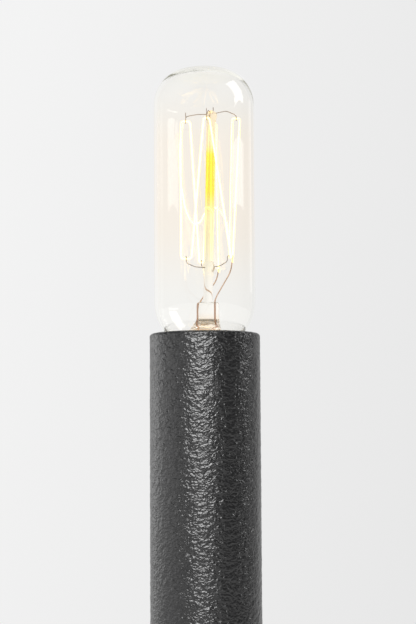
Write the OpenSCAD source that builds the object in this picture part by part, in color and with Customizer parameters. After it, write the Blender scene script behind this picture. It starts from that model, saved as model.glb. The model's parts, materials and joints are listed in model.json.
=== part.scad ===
// Wall sconce: a vertical tube with a pebbled cast finish, carried by a short arm
// on a round back plate, with a clear tubular filament bulb in its open top.
// All sizes are in millimetres. The origin is on the wall, at the centre of the
// mounting strap. +Z is up, +Y points into the wall, +X is right as seen from the room.

/* [Tube] */
// Thickness of the tube's wall
tube_wall = 1.6; // [1.2:0.1:3]
// Length of tube above the arm's axis
tube_above_arm = 190; // [150:5:300]
// Length of tube below the arm's axis
tube_below_arm = 110; // [50:5:200]
// Distance from the wall to the tube's axis
tube_standoff = 75; // [62:1:120]
// Rounding of both edges of the tube's rim
rim_round = 0.7; // [0.2:0.1:0.7]

/* [Bottom cap] */
// Thickness of the cap's flange
cap_flange_t = 3; // [2:0.5:8]
// Rounding of the flange's lower edge
cap_edge_r = 1; // [0.5:0.25:1.75]
// Length of the spigot inside the tube
cap_spigot_len = 10; // [8:1:20]
// Diameter of the grub screw that holds the cap
grub_d = 4; // [3:0.5:5]
// Length of the grub screw
grub_len = 6; // [5:0.5:10]

/* [Arm] */
// Outer diameter of the arm's sleeve
arm_d = 20; // [18:1:30]
// Outer diameter of the hollow threaded stem and nipple
stem_d = 10; // [9:0.5:11]
// Bore of the hollow stem and nipple
stem_bore = 7; // [6.5:0.25:7.5]
// Thickness of the curved washer inside the tube, at its middle
saddle_t = 3; // [2:0.5:5]
// Width of the curved washer
saddle_w = 16; // [14:1:20]
// Length of thread that shows past a lock nut
thread_proud = 2; // [1:0.5:4]

/* [Lock nuts] */
// Size of a lock nut across its flats
lock_nut_af = 14; // [13:0.5:16]
// Thickness of a lock nut
lock_nut_t = 4; // [3:0.5:5]

/* [Wire bushings] */
// Thickness of a bushing's flange
bushing_flange_t = 1.5; // [1:0.25:2.5]
// Length of a bushing's spigot inside the stem
bushing_len = 4; // [3:0.5:8]
// Bore of a bushing
bushing_bore = 5; // [4.6:0.2:5.4]

/* [Back plate] */
// Depth of the back plate, from the wall to its front
plate_depth = 25; // [23:1:40]
// Thickness of the back plate's wall
plate_wall = 2; // [1.2:0.2:3]
// Rounding of the back plate's front edge
plate_edge_r = 4; // [3:0.5:8]
// Room between the mounting strap's ends and the back plate's wall
plate_room = 2; // [1:0.5:10]
// Outer diameter of the washer inside the back plate
plate_washer_d = 22; // [18:1:30]
// Thickness of the washer inside the back plate
plate_washer_t = 1.5; // [1:0.25:3]

/* [Mounting strap] */
// Distance between the two screw slots
box_spacing = 88.9; // [80:0.1:100]
// Length of a screw slot, end to end
slot_len = 12; // [8:0.5:14]
// Width of a screw slot
slot_w = 4.8; // [4:0.1:6]
// Strap left past the end of each slot
strap_end = 2.5; // [2:0.5:8]
// Width of the strap
strap_w = 20; // [18:1:26]
// Thickness of the strap
strap_t = 2; // [1.5:0.25:3]
// Diameter of the hole for the supply cable
cable_hole_d = 13; // [10:0.5:16]
// Distance between the two studs
stud_spacing = 60; // [54:1:66]
// Diameter of a stud
stud_d = 4; // [3.5:0.25:5]
// Size of a strap nut across its flats
strap_nut_af = 7; // [6.5:0.5:9]
// Thickness of a strap nut
strap_nut_t = 3.2; // [2.4:0.2:5]
// Diameter of a domed cap nut
cap_nut_d = 9; // [8:0.5:14]
// Length of a cap nut's straight side
cap_nut_side = 4; // [3:0.5:8]

/* [Earth] */
// Distance of the earth screw from the strap's centre
earth_x = 18; // [15:0.5:20]
// Diameter of the earth screw
earth_d = 4; // [3:0.5:5]
// Diameter of the earth screw's head
earth_head_d = 7.5; // [6.5:0.5:9]
// Height of the earth screw's head
earth_head_h = 3; // [2:0.5:4]
// Thickness of the earth lug
lug_t = 0.8; // [0.5:0.1:1.2]
// Outer diameter of the earth lug's barrel
lug_barrel_d = 3.4; // [3.2:0.1:4.5]

/* [Terminal block] */
// Distance between two poles
pole_pitch = 10; // [9:0.5:14]
// Height of the block
block_h = 16; // [14:1:24]
// Depth of the block, out from the back plate
block_depth = 16; // [15:0.5:18]
// Distance from the strap's edge up to the block
block_above_strap = 10; // [8:1:14]
// Outer diameter of a brass clamp
clamp_d = 4.2; // [3.8:0.1:5]
// Bore of a brass clamp
clamp_bore = 3; // [2.4:0.1:3.4]
// Diameter of a clamp screw
clamp_screw_d = 2.5; // [2:0.1:3]
// Diameter of a clamp screw's head
clamp_head_d = 3.4; // [3:0.1:4]
// Height of a clamp screw's head
clamp_head_h = 2; // [1.5:0.25:3]
// Diameter of the stud that carries the block
block_stud_d = 3; // [2.5:0.25:3.5]
// Size of the block's nut across its flats
block_nut_af = 5.5; // [5:0.5:7]
// Thickness of the block's nut
block_nut_t = 2.4; // [2:0.2:3]

/* [Lampholder] */
// Depth of the bulb's foot below the tube's rim
foot_below_rim = 28; // [26:0.5:40]
// Thickness of the lampholder's wall
holder_wall = 1.5; // [1:0.1:3]
// Thickness of the lampholder's floor
holder_floor = 4; // [3.5:0.5:8]
// Height of the centre contact above the floor
contact_h = 4; // [3:0.5:6]
// Thickness of the centre contact's sheet
contact_t = 0.6; // [0.4:0.1:0.8]
// Width of the centre contact
contact_w = 5; // [4:0.5:7]
// Thickness of the screw shell outside its thread
shell_wall = 0.5; // [0.4:0.1:1]
// Height of a terminal block under the floor
term_h = 7; // [6:0.5:9]
// Length of a terminal block, outwards
term_len = 6; // [5:0.5:7]
// Width of a terminal block
term_w = 6; // [5:0.5:7]
// Diameter of a terminal screw
term_screw_d = 3; // [2.5:0.25:3.5]
// Diameter of a terminal screw's head
term_head_d = 5; // [4:0.5:6]
// Height of a terminal screw's head
term_head_h = 2; // [1.5:0.25:3]

/* [Lampholder bracket] */
// Height of the bracket
bracket_h = 16; // [15:0.5:30]
// Width of the bracket
bracket_w = 15; // [14:0.5:16]
// Thickness of the bracket's sheet
bracket_t = 1.5; // [1:0.25:2]
// Diameter of a bracket screw
bracket_screw_d = 3; // [2.5:0.25:3.5]
// Diameter of a bracket screw's head
bracket_head_d = 5.4; // [4.5:0.25:6]
// Height of a bracket screw's head
bracket_head_h = 2; // [1.5:0.25:2.5]
// Depth of a bracket screw in the lampholder's floor
bracket_screw_in = 3; // [2:0.25:3]

/* [Seat plug] */
// Thickness of the plug that closes the tube under the lampholder
plug_t = 8; // [7:0.5:16]
// Distance from the plug up to the bracket
plug_below_bracket = 18; // [8:1:40]
// Diameter of a plug screw
plug_screw_d = 3; // [2.5:0.25:4]
// Depth of a plug screw in the plug
plug_screw_in = 5; // [4:0.5:6]
// Diameter of a plug screw's head
plug_head_d = 5.5; // [5:0.25:7]
// Height of a plug screw's head
plug_head_h = 1.8; // [1.2:0.2:3]
// Angle of each plug screw from straight back
plug_screw_angle = 40; // [25:5:60]

/* [Screw thread of the bulb] */
// Outer diameter of the bulb's screw thread
thread_d = 26.1; // [24:0.1:28]
// Depth of the thread
thread_depth = 0.85; // [0.7:0.05:0.95]
// Pitch of the thread
thread_pitch = 3.629; // [3:0.001:4]
// Length of the thread on the bulb's cap
thread_len = 17; // [14:0.5:19]
// Room between the bulb's thread and the screw shell's
thread_room = 0.35; // [0.3:0.05:0.45]
// Thickness of the cap's sheet at the root of the thread
cap_sheet = 0.4; // [0.3:0.05:0.6]
// Distance of the cap's top edge below the tube's rim
cap_below_rim = 2; // [1.75:0.25:4]
// Height of the black insulator under the thread
insulator_h = 5; // [4:0.5:7]
// Diameter of the foot contact
foot_d = 8.8; // [7:0.2:9.6]
// Height of the foot contact
foot_h = 1.4; // [1:0.1:2]

/* [Bulb glass] */
// Outer diameter of the bulb's glass
glass_d = 32; // [29:0.5:38]
// Height of the bulb's top above the tube's rim
glass_above_rim = 85.5; // [70:0.5:130]
// Thickness of the glass
glass_wall = 0.9; // [0.6:0.1:1.2]
// Radius of the corner between the crown and the side
crown_corner_r = 10; // [6:0.5:13]
// Radius of the flat crown
crown_r = 26; // [22:1:60]
// Thickness of the cement between the cap and the glass
cement_t = 0.8; // [0.6:0.1:1.2]

/* [Filament] */
// Distance of the filament's upper hooks below the top of the glass
cage_below_top = 16.5; // [14:0.5:24]
// Height of the filament's lower hooks above the tube's rim
cage_above_rim = 24; // [22:0.5:30]
// Diameter of the filament
filament_d = 0.8; // [0.6:0.1:0.9]
// Half the width of a filament hairpin
hairpin_w = 1; // [0.9:0.1:1.2]
// Diameter of a support wire
support_d = 0.4; // [0.3:0.05:0.5]
// Diameter of a lead wire
lead_d = 0.6; // [0.4:0.1:0.8]
// Diameter of the glass rod that carries the supports
arbor_d = 3; // [2.4:0.2:3.4]
// Diameter of the beads on the glass rod
bead_d = 4; // [3.6:0.2:4.6]
// Height of the press's top above the tube's rim
press_above_rim = 10; // [8:0.5:14]
// Height of the press
press_h = 8; // [6:0.5:9]
// Width of the press
press_w = 10; // [9:0.5:11]
// Thickness of the press
press_t = 3.6; // [3.2:0.2:4.4]

/* [Wiring] */
// Diameter of the insulated wires
wire_d = 2; // [1.6:0.1:2]
// Distance between the live and neutral wires
wire_pitch = 2.4; // [2.2:0.1:2.5]
// Length over which a wire bends at a corner
wire_bend = 6; // [3:0.5:8]

/* [Fits] */
// Room around a screw, stud or stem in its hole
hole_room = 0.25; // [0.15:0.05:0.3]
// Room between a nut's bore and its thread
nut_room = 0.05; // [0.02:0.01:0.1]
// Room between two parts that are pushed together
push_room = 0.1; // [0.05:0.05:0.15]
// Room between the lampholder and the tube
holder_room = 0.4; // [0.2:0.1:1]

/* [Hidden] */
$fn = 96;

// A small length by which a cutting tool runs past a face
past = 1;

// Radii from the bulb's thread outwards to the tube
thread_root_r = thread_d / 2 - thread_depth;
shell_root_r = thread_root_r + thread_room;
shell_r = shell_root_r + thread_depth + shell_wall;
holder_bore_r = shell_r + push_room;
holder_r = holder_bore_r + holder_wall;
tube_bore_r = holder_r + holder_room;
tube_r = tube_bore_r + tube_wall;
plug_r = tube_bore_r - push_room;

// Radii from the bulb's thread inwards to the glass
cap_bore_r = thread_root_r - cap_sheet;
cap_lip = 2;
lip_h = 1;
neck_r = cap_bore_r - cement_t;
glass_r = glass_d / 2;

// Heights on the tube's axis; the cap's collar covers the end of its thread
axis_y = -tube_standoff;
rim_z = tube_above_arm;
tube_bottom_z = -tube_below_arm;
grub_z = tube_bottom_z + cap_spigot_len / 2;
foot_z = rim_z - foot_below_rim;
cap_top_z = rim_z - cap_below_rim;
skirt_z = foot_z + insulator_h;
thread_top_z = skirt_z + thread_len;
thread_run = thread_pitch * push_room / thread_depth / 2;
collar_z = thread_top_z - thread_run;
shell_lip = 0.5;
shell_top_z = thread_top_z - shell_lip;
shell_thread_z = skirt_z - thread_pitch;
holder_top_z = thread_top_z;
floor_top_z = foot_z - contact_h;
floor_z = floor_top_z - holder_floor;
bracket_z = floor_z - bracket_h;
plug_top_z = bracket_z - plug_below_bracket;
plug_z = plug_top_z - plug_t;
nipple_top_z = bracket_z + bracket_t + lock_nut_t + thread_proud;
nipple_z = plug_z - lock_nut_t - thread_proud;

// Places along the arm
tube_back_y = axis_y + tube_bore_r;
saddle_y = tube_back_y - saddle_t;
stem_front_y = saddle_y - lock_nut_t - thread_proud;
plate_inner_y = plate_wall - plate_depth;
plate_nut_y = plate_inner_y + plate_washer_t;
stem_back_y = plate_nut_y + lock_nut_t + thread_proud;

// Mounting strap and back plate
strap_half = box_spacing / 2 + slot_len / 2 + strap_end;
plate_r = strap_half + plate_room + plate_wall;
stud_front_y = -plate_depth - cap_nut_side;
lug_hole_z = earth_head_d / 2;
lug_barrel_y = -strap_t - push_room - lug_barrel_d / 2;

// Terminal block, with its poles in a row
poles = [-pole_pitch, 0, pole_pitch];
block_w = 3 * pole_pitch;
block_z = strap_w / 2 + block_above_strap;
block_y = plate_inner_y + block_depth;
pole_y = block_y - clamp_head_h - clamp_d / 2 - clamp_screw_d / 2;
block_stud_x = pole_pitch / 2;
block_mid_z = block_z + block_h / 2;
clamp_screw_z = block_h / 4;
clamp_inset = 1;

// Lampholder terminals: live on the left, neutral on the right, under the screw shell's flange
flange_w = 2;
flange_r = shell_root_r - flange_w;
tail_t = 1;
tail_w = 4;
neutral_tail_x = flange_r;
live_tail_x = flange_r - flange_w - tail_t / 2;
term_x = neutral_tail_x + tail_t - term_len;
term_mid_x = term_x + term_len / 2;
wire_z = floor_z - term_h / 2;
leg_room = 2.7;
leg_y = tube_bore_r - leg_room;
bracket_screw_y = leg_y - bracket_t - push_room - bracket_head_d / 2;
flange_y = bracket_screw_y - bracket_head_d / 2 - push_room;

// Glass outline: a flat crown, a rounded corner, a straight side and a round shoulder
corner_x = glass_r - crown_corner_r;
crown_z = glass_above_rim - crown_r;
corner_z = crown_z + sqrt(pow(crown_r - crown_corner_r, 2) - corner_x * corner_x);
crown_angle = atan2(corner_z - crown_z, corner_x);
neck_top = -1.4;
shoulder_z = neck_top + sqrt(glass_r * glass_r - neck_r * neck_r);
neck_end = -9;

// Glass stem, measured from the tube's rim on the bulb's axis
press_x = 1;
stem_floor = press_above_rim - press_h;
flare_wall = 0.8;
flare_r = press_w / 2 + press_x + flare_wall / 2;
flare_rim_r = neck_r - glass_wall - push_room;
flare_arc_r = flare_rim_r - flare_r;
flare_angle = asin(flare_wall / (flare_arc_r + flare_wall));
exhaust_d = 3.2;
exhaust_bore = 2;
exhaust_len = 16;
arbor_foot = [press_x, 0, press_above_rim - 1];
upper_hub_x = 2.4;
upper_hub_rise = 1.5;
lower_hub_drop = 3;
upper_hub = [upper_hub_x, 0, glass_above_rim - cage_below_top + upper_hub_rise];
hub_share = (cage_above_rim - lower_hub_drop - arbor_foot.z) / (upper_hub.z - arbor_foot.z);
lower_hub = arbor_foot + hub_share * (upper_hub - arbor_foot);
knee_share = 0.6;
knee_rise = 0.4;

// Filament hooks in the order of the strand, across and behind the bulb's axis
upper_z = glass_above_rim - cage_below_top;
lower_z = cage_above_rim;
upper_hooks = [[10.2, 2, upper_z], [0.6, -8, upper_z], [-5.8, -1, upper_z - 1], [2.6, 8, upper_z]];
lower_hooks = [[8.2, -2, lower_z], [-5.8, 0.5, lower_z], [-1, 7, lower_z - 0.5]];
upper_sides = [[-1, 0, 0], [-1, 0, 0], [1, 0, 0], [1, 0, 0]];
lower_sides = [[0.3, -0.95, 0], [-1, 0, 0], [1, 0, 0]];
right_end = [9, 3, lower_z - 1];
left_end = [4.6, 4, lower_z - 4];

// A slack strand that sags behind the glass rod, in points chosen along it
slack_strand = [[-6.8, -0.9, upper_z - 1.5], [-7.6, 0.5, upper_z - 8], [-7.6, 1.5, 49], [-6.6, 2.8, 43],
    [-5.9, 3.2, 40], [-4.9, 3.4, 37.5], [-3.6, 3.4, 35.8], [-2.4, 3.4, 35.5], [-1, 3.4, 36.3], [0.2, 3.4, 39],
    [2, 3.4, 40.8], [4, 3.2, 40.8], [5.2, 3, 39.8], [6.4, 2.5, 37.8], [7.2, 2, 35.5], [7.9, 0.6, 30],
    [8.1, -0.8, lower_z + 1]];

// Lead wires, from the filament's ends through the press to the foot and to the cap
right_lead = [right_end + [0, 0, 1], [8.4, 2.5, lower_z - 4], [4.6, 0.5, press_above_rim + 2],
    [press_x + 3, 0, press_above_rim], [press_x + 3, 0, stem_floor - 2], [press_x + 2.5, 0, stem_floor - 17],
    [0, 0, insulator_h + 3 - foot_below_rim], [0, 0, foot_h + 2 * push_room - foot_below_rim]];
left_lead = [left_end + [0, 0, 1], [3.7, 4, lower_z - 7], [-0.5, 2.6, press_above_rim + 2],
    [press_x - 3, 0, press_above_rim - 1], [press_x - 3, 0, stem_floor - 2], [press_x - 4, 0, neck_end - 2],
    [lead_d - cap_bore_r, 0, neck_end - 4]];

// Wire routes, as corner points that the sweep eases
wire_x = wire_pitch / 2;
run_y = axis_y - 5;
drop_z = nipple_z - 15;
shift_z = drop_z - 20;
exit_y = stem_back_y + bushing_flange_t + wire_bend;
turn_z = block_z - 9;
entry_z = block_z - 5;

// Unit vector along v
function unit(v) = v / norm(v);

// Point at share t of the curve that leaves a towards b and arrives at c
function curve_at(a, b, c, t) = (1 - t) * (1 - t) * a + 2 * t * (1 - t) * b + t * t * c;

// A path of corner points p with each corner eased over at most the length bend, in n steps
function eased(p, bend, n) = concat([p[0]],
    [for (i = [1:len(p) - 2])
        let (before = p[i - 1] - p[i],
            after = p[i + 1] - p[i],
            cut = min(bend, 0.45 * norm(before), 0.45 * norm(after)))
        for (k = [0:n]) curve_at(p[i] + cut * unit(before), p[i], p[i] + cut * unit(after), k / n)],
    [p[len(p) - 1]]);

// Direction of the path p at its point i
function heading(p, i) = unit(p[min(i + 1, len(p) - 1)] - p[max(i - 1, 0)]);

// A direction square to v
function square_to(v) = unit(cross(v, abs(v.y) < 0.7 ? [0, 1, 0] : [1, 0, 0]));

// The side direction at point i, carried along the path with no twist
function carried(p, i) = i == 0 ? square_to(heading(p, 0))
    : let (t = heading(p, i), s = carried(p, i - 1)) unit(s - (s * t) * t);

// A ring of n points of radius r around c, square to the heading t
function ring(c, t, s, r, n) = let (u = cross(t, s))
    [for (k = [0:n - 1]) c + r * (cos(360 * k / n) * s + sin(360 * k / n) * u)];

// Points of an arc of radius r about [x, z], from angle a to angle b in n steps
function arc(x, z, r, a, b, n) = [for (k = [0:n])
    let (t = a + (b - a) * k / n)
    [x + r * cos(t), z + r * sin(t)]];

// The two ends of a hairpin of the filament over a hook
function hairpin(hook, side) = [hook - hairpin_w * side, hook + hairpin_w * side];

// A support wire from the hub to its hook; turned is 1 for an upper hook and -1 for a lower one
function support_route(hub, hook, side, turned) =
    let (n = hairpin_w * [-side.y, side.x, 0],
        drop = [0, 0, turned * ((filament_d + support_d) / 2 + push_room)],
        over = hook - n + 2 * drop,
        knee = hub + [knee_share * (over.x - hub.x), knee_share * (over.y - hub.y), knee_rise])
    [hub, knee, over, hook - n - drop, hook + n - drop];

// Outline of the glass from the crown's middle down to the neck's end, t inside its outer face
function glass_outline(t) = concat(
    arc(0, crown_z, crown_r - t, 90, crown_angle, 8),
    arc(corner_x, corner_z, crown_corner_r - t, crown_angle, 0, 12),
    arc(0, shoulder_z, glass_r - t, 0, -acos((neck_r - t) / (glass_r - t)), 16),
    [[neck_r - t, neck_end]]);

// A round tube of diameter d along the points of a path
module sweep(path, d, sides) {
    last = (len(path) - 1) * sides;
    points = [for (i = [0:len(path) - 1])
        each ring(path[i], heading(path, i), carried(path, i), d / 2, sides)];
    walls = [for (i = [0:sides:last - sides], k = [0:sides - 1])
        let (a = i + k, b = i + (k + 1) % sides)
        each [[a, a + sides, b + sides], [a, b + sides, b]]];
    start = [for (k = [0:sides - 1]) k];
    end = [for (k = [0:sides - 1]) last + sides - 1 - k];
    polyhedron(points, concat(walls, [start, end]));
}

// A round bar from z0 to z1 with a rolled right-hand thread, which fades out over a pitch at the chosen ends
module thread_bar(root_r, z0, z1, fade_low, fade_high) {
    sides = 24;
    rows = ceil((z1 - z0) / thread_pitch * 6);
    function fade(z) = min(fade_low ? min((z - z0) / thread_pitch, 1) : 1,
        fade_high ? min((z1 - z) / thread_pitch, 1) : 1);
    function wave(z, a) = (1 - cos(360 * (z - foot_z) / thread_pitch - a)) / 2;
    points = [for (i = [0:rows], k = [0:sides - 1])
        let (z = z0 + (z1 - z0) * i / rows,
            a = 360 * k / sides,
            r = root_r + fade(z) * thread_depth * wave(z, a))
        [r * cos(a), r * sin(a), z]];
    walls = [for (i = [0:rows - 1], k = [0:sides - 1])
        let (a = i * sides + k, b = i * sides + (k + 1) % sides)
        each [[a, a + sides, b + sides], [a, b + sides, b]]];
    start = [for (k = [0:sides - 1]) k];
    end = [for (k = [0:sides - 1]) rows * sides + sides - 1 - k];
    polyhedron(points, concat(walls, [start, end]));
}

// Moves to the tube's axis at height z
module on_axis(z) translate([0, axis_y, z]) children();

// Turns a shape that stands on Z so that it runs along +Y
module along_y() rotate([-90, 0, 0]) children();

// A hexagonal nut on Z, af across its flats
module hex_nut(af, t, hole_d) difference() {
    cylinder(d = af / cos(30), h = t, $fn = 6);
    translate([0, 0, -past]) cylinder(d = hole_d, h = t + 2 * past);
}

// A round ring or hollow tube on Z
module ring_bar(d, hole_d, h) difference() {
    cylinder(d = d, h = h);
    translate([0, 0, -past]) cylinder(d = hole_d, h = h + 2 * past);
}

// A screw on Z with its tip at 0: a plain shank and a slotted round head
module slotted_screw(d, len, head_d, head_h) difference() {
    union() {
        cylinder(d = d, h = len);
        translate([0, 0, len]) cylinder(d = head_d, h = head_h);
    }
    translate([-head_d, -d / 8, len + head_h / 2]) cube([2 * head_d, d / 4, head_h]);
}

// Two copies at plus and minus x
module pair_x(x) for (side = [-1, 1]) translate([side * x, 0, 0]) children();

// Places a child, standing on Z, at each plug screw, pointing out of the tube's back
module at_plug_screws() on_axis(plug_z + plug_t / 2)
    for (side = [-1, 1]) rotate([0, 0, side * plug_screw_angle]) along_y() children();

// Quarter-round waste at a corner of radius r, with the corner at 0 and the solid towards -x and -y
module corner_waste(r) difference() {
    translate([-r, -r]) square(r + past);
    translate([-r, -r]) circle(r);
}

// Tube
module tube() color("#2d2d2e") difference() {
    on_axis(tube_bottom_z) rotate_extrude() difference() {
        translate([tube_bore_r, 0]) square([tube_wall, rim_z - tube_bottom_z]);
        translate([tube_r, rim_z - tube_bottom_z]) corner_waste(rim_round);
        translate([tube_bore_r, rim_z - tube_bottom_z]) mirror([1, 0]) corner_waste(rim_round);
    }
    on_axis(0) along_y() cylinder(d = stem_d + 2 * hole_room, h = tube_r + past);
    at_plug_screws() cylinder(d = plug_screw_d + 2 * hole_room, h = tube_r + past);
    on_axis(grub_z) along_y() cylinder(d = grub_d + 2 * push_room, h = tube_r + past);
}

// Bottom cap with its spigot
module bottom_cap() color("#2d2d2e") on_axis(tube_bottom_z) difference() {
    union() {
        translate([0, 0, -cap_flange_t]) rotate_extrude() difference() {
            square([tube_r, cap_flange_t]);
            translate([tube_r, 0]) mirror([0, 1]) corner_waste(cap_edge_r);
        }
        cylinder(r = plug_r, h = cap_spigot_len);
    }
    translate([0, 0, cap_spigot_len / 2]) along_y() cylinder(d = grub_d + 2 * nut_room, h = plug_r + past);
}

// Grub screw in the back of the tube
module cap_grub_screw() color("#8a8a8c") on_axis(grub_z) along_y() difference() {
    translate([0, 0, tube_r - grub_len]) cylinder(d = grub_d, h = grub_len);
    translate([0, 0, tube_r - grub_len / 3]) cylinder(d = grub_d / 2, h = grub_len, $fn = 6);
}

// Arm sleeve, cut to sit on the tube
module arm_sleeve() color("#2d2d2e") difference() {
    translate([0, axis_y, 0]) along_y() ring_bar(arm_d, stem_d + 2 * hole_room, tube_standoff - plate_depth);
    on_axis(-arm_d) cylinder(r = tube_r + push_room, h = 2 * arm_d);
}

// Hollow threaded stem through the arm
module stem() color("#c9b27a") translate([0, stem_front_y, 0])
    along_y() ring_bar(stem_d, stem_bore, stem_back_y - stem_front_y);

// Curved washer inside the tube
module saddle_washer() color("#9a9a9c") difference() {
    intersection() {
        on_axis(-saddle_w / 2) cylinder(r = plug_r, h = saddle_w);
        translate([-saddle_w / 2, saddle_y, -saddle_w / 2]) cube([saddle_w, saddle_t + past, saddle_w]);
    }
    translate([0, saddle_y - past, 0]) along_y()
        cylinder(d = stem_d + 2 * hole_room, h = saddle_t + 2 * past);
}

// Lock nuts: one at each end of the stem and three on the nipple
module lock_nuts() color("#c9b27a") {
    for (y = [saddle_y - lock_nut_t, plate_nut_y])
        translate([0, y, 0]) along_y() hex_nut(lock_nut_af, lock_nut_t, stem_d + 2 * nut_room);
    for (z = [plug_z - lock_nut_t, plug_top_z, bracket_z + bracket_t])
        on_axis(z) hex_nut(lock_nut_af, lock_nut_t, stem_d + 2 * nut_room);
}

// One bushing on Z, its flange below 0 and its spigot above
module bushing() difference() {
    union() {
        translate([0, 0, -bushing_flange_t]) cylinder(d = stem_d, h = bushing_flange_t);
        cylinder(d = stem_bore - 2 * push_room, h = bushing_len);
    }
    translate([0, 0, -bushing_flange_t - past])
        cylinder(d = bushing_bore, h = bushing_flange_t + bushing_len + 2 * past);
}

// Bushings in both ends of the stem
module stem_bushings() color("#e8e4da") {
    translate([0, stem_front_y, 0]) along_y() bushing();
    translate([0, stem_back_y, 0]) rotate([90, 0, 0]) bushing();
}

// Round back plate: a cup open to the wall, with a welded stud inside for the terminal block
module back_plate() color("#2d2d2e") {
    difference() {
        translate([0, -plate_depth, 0]) along_y() rotate_extrude() difference() {
            square([plate_r, plate_depth]);
            translate([plate_r, 0]) mirror([0, 1]) corner_waste(plate_edge_r);
            difference() {
                translate([0, plate_wall]) square([plate_r - plate_wall, plate_depth]);
                translate([plate_r - plate_wall, plate_wall]) mirror([0, 1])
                    corner_waste(plate_edge_r - plate_wall);
            }
        }
        translate([0, -plate_depth - past, 0]) along_y() {
            cylinder(d = stem_d + 2 * hole_room, h = plate_wall + 2 * past);
            pair_x(stud_spacing / 2) cylinder(d = stud_d + 2 * hole_room, h = plate_wall + 2 * past);
        }
    }
    translate([block_stud_x, plate_inner_y, block_mid_z])
        along_y() cylinder(d = block_stud_d, h = block_depth + block_nut_t + thread_proud / 2);
}

// Washer inside the back plate
module plate_washer() color("#9a9a9c") translate([0, plate_inner_y, 0])
    along_y() ring_bar(plate_washer_d, stem_d + 2 * hole_room, plate_washer_t);

// Outline of a slot along X
module slot_outline(len, w) {
    square([len - w, w], center = true);
    pair_x((len - w) / 2) circle(d = w);
}

// Mounting strap with two slots, two stud holes, the earth screw's hole and the cable hole
module mounting_strap() color("#b9bbbd") rotate([90, 0, 0]) linear_extrude(strap_t) difference() {
    slot_outline(2 * strap_half, strap_w);
    pair_x(box_spacing / 2) slot_outline(slot_len, slot_w);
    pair_x(stud_spacing / 2) circle(d = stud_d + 2 * nut_room);
    translate([earth_x, 0]) circle(d = earth_d + 2 * nut_room);
    circle(d = cable_hole_d);
}

// Two studs from the strap to the cap nuts
module strap_studs() color("#b9bbbd") translate([0, stud_front_y, 0])
    pair_x(stud_spacing / 2) along_y() cylinder(d = stud_d, h = -stud_front_y);

// Nuts that lock the studs on the strap
module strap_nuts() color("#b9bbbd") translate([0, -strap_t - strap_nut_t, 0])
    pair_x(stud_spacing / 2) along_y() hex_nut(strap_nut_af, strap_nut_t, stud_d + 2 * nut_room);

// Domed cap nuts on the front of the back plate
module cap_nuts() color("#2d2d2e") translate([0, -plate_depth, 0]) pair_x(stud_spacing / 2) rotate([90, 0, 0])
    difference() {
        union() {
            cylinder(d = cap_nut_d, h = cap_nut_side);
            translate([0, 0, cap_nut_side]) intersection() {
                sphere(d = cap_nut_d);
                cylinder(d = cap_nut_d + past, h = cap_nut_d);
            }
        }
        translate([0, 0, -past]) cylinder(d = stud_d + 2 * nut_room, h = cap_nut_side + past + push_room);
    }

// Earth screw in the strap
module earth_screw() color("#3f8f4f") translate([earth_x, 0, 0]) rotate([90, 0, 0])
    slotted_screw(earth_d, strap_t + lug_t, earth_head_d, earth_head_h);

// Earth lug: a flat eye under the screw's head and a crimped barrel
module earth_lug() color("#c8a24a") translate([earth_x, 0, 0]) difference() {
    union() {
        translate([0, -strap_t, 0]) rotate([90, 0, 0]) cylinder(d = earth_head_d, h = lug_t);
        translate([-lug_barrel_d / 2, -strap_t - lug_t, 0])
            cube([lug_barrel_d, lug_t, lug_hole_z + lug_barrel_d]);
        translate([0, lug_barrel_y, lug_hole_z + push_room]) cylinder(d = lug_barrel_d, h = 2 * lug_barrel_d);
    }
    translate([0, past, 0]) rotate([90, 0, 0])
        cylinder(d = earth_d + 2 * nut_room, h = strap_t + lug_t + 2 * past);
    translate([0, lug_barrel_y, 0]) cylinder(d = wire_d + 2 * push_room, h = 4 * lug_barrel_d);
}

// Places a child, standing on Z, at each clamp screw with Z out of the block
module at_clamp_screws() for (x = poles, side = [-1, 1])
    translate([x, pole_y, block_mid_z + side * clamp_screw_z]) along_y() children();

// Terminal block with a tunnel for each pole and a well for each screw
module terminal_block() color("#efece2") difference() {
    translate([-block_w / 2, plate_inner_y, block_z]) cube([block_w, block_depth, block_h]);
    for (x = poles) translate([x, pole_y, block_z - past])
        cylinder(d = clamp_d + 2 * push_room, h = block_h + 2 * past);
    at_clamp_screws() cylinder(d = clamp_head_d + 2 * push_room, h = block_depth);
    translate([block_stud_x, plate_inner_y - past, block_mid_z])
        along_y() cylinder(d = block_stud_d + 2 * push_room, h = block_depth + 2 * past);
}

// Brass clamps, one in each pole
module block_clamps() color("#c8a24a") difference() {
    for (x = poles) translate([x, pole_y, block_z + clamp_inset])
        ring_bar(clamp_d, clamp_bore, block_h - 2 * clamp_inset);
    at_clamp_screws() cylinder(d = clamp_screw_d + 2 * nut_room, h = clamp_d);
}

// Clamp screws, two in each pole, their tips on the wire
module clamp_screws() color("#b9bbbd") at_clamp_screws() translate([0, 0, wire_d / 2 + nut_room])
    slotted_screw(clamp_screw_d, (clamp_d - wire_d) / 2, clamp_head_d, clamp_head_h);

// Nut that holds the terminal block on its stud
module block_nut() color("#b9bbbd") translate([block_stud_x, block_y, block_mid_z])
    along_y() hex_nut(block_nut_af, block_nut_t, block_stud_d + 2 * nut_room);

// Plug across the tube that carries the lampholder
module seat_plug() color("#a9abad") difference() {
    on_axis(plug_z) cylinder(r = plug_r, h = plug_t);
    on_axis(plug_z - past) cylinder(d = stem_d + 2 * hole_room, h = plug_t + 2 * past);
    at_plug_screws() cylinder(d = plug_screw_d + 2 * nut_room, h = tube_r);
}

// Screws through the tube's back into the plug
module plug_screws() color("#8a8a8c") at_plug_screws()
    translate([0, 0, plug_r - plug_screw_in])
    slotted_screw(plug_screw_d, plug_screw_in + tube_r - plug_r + nut_room, plug_head_d, plug_head_h);

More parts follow.
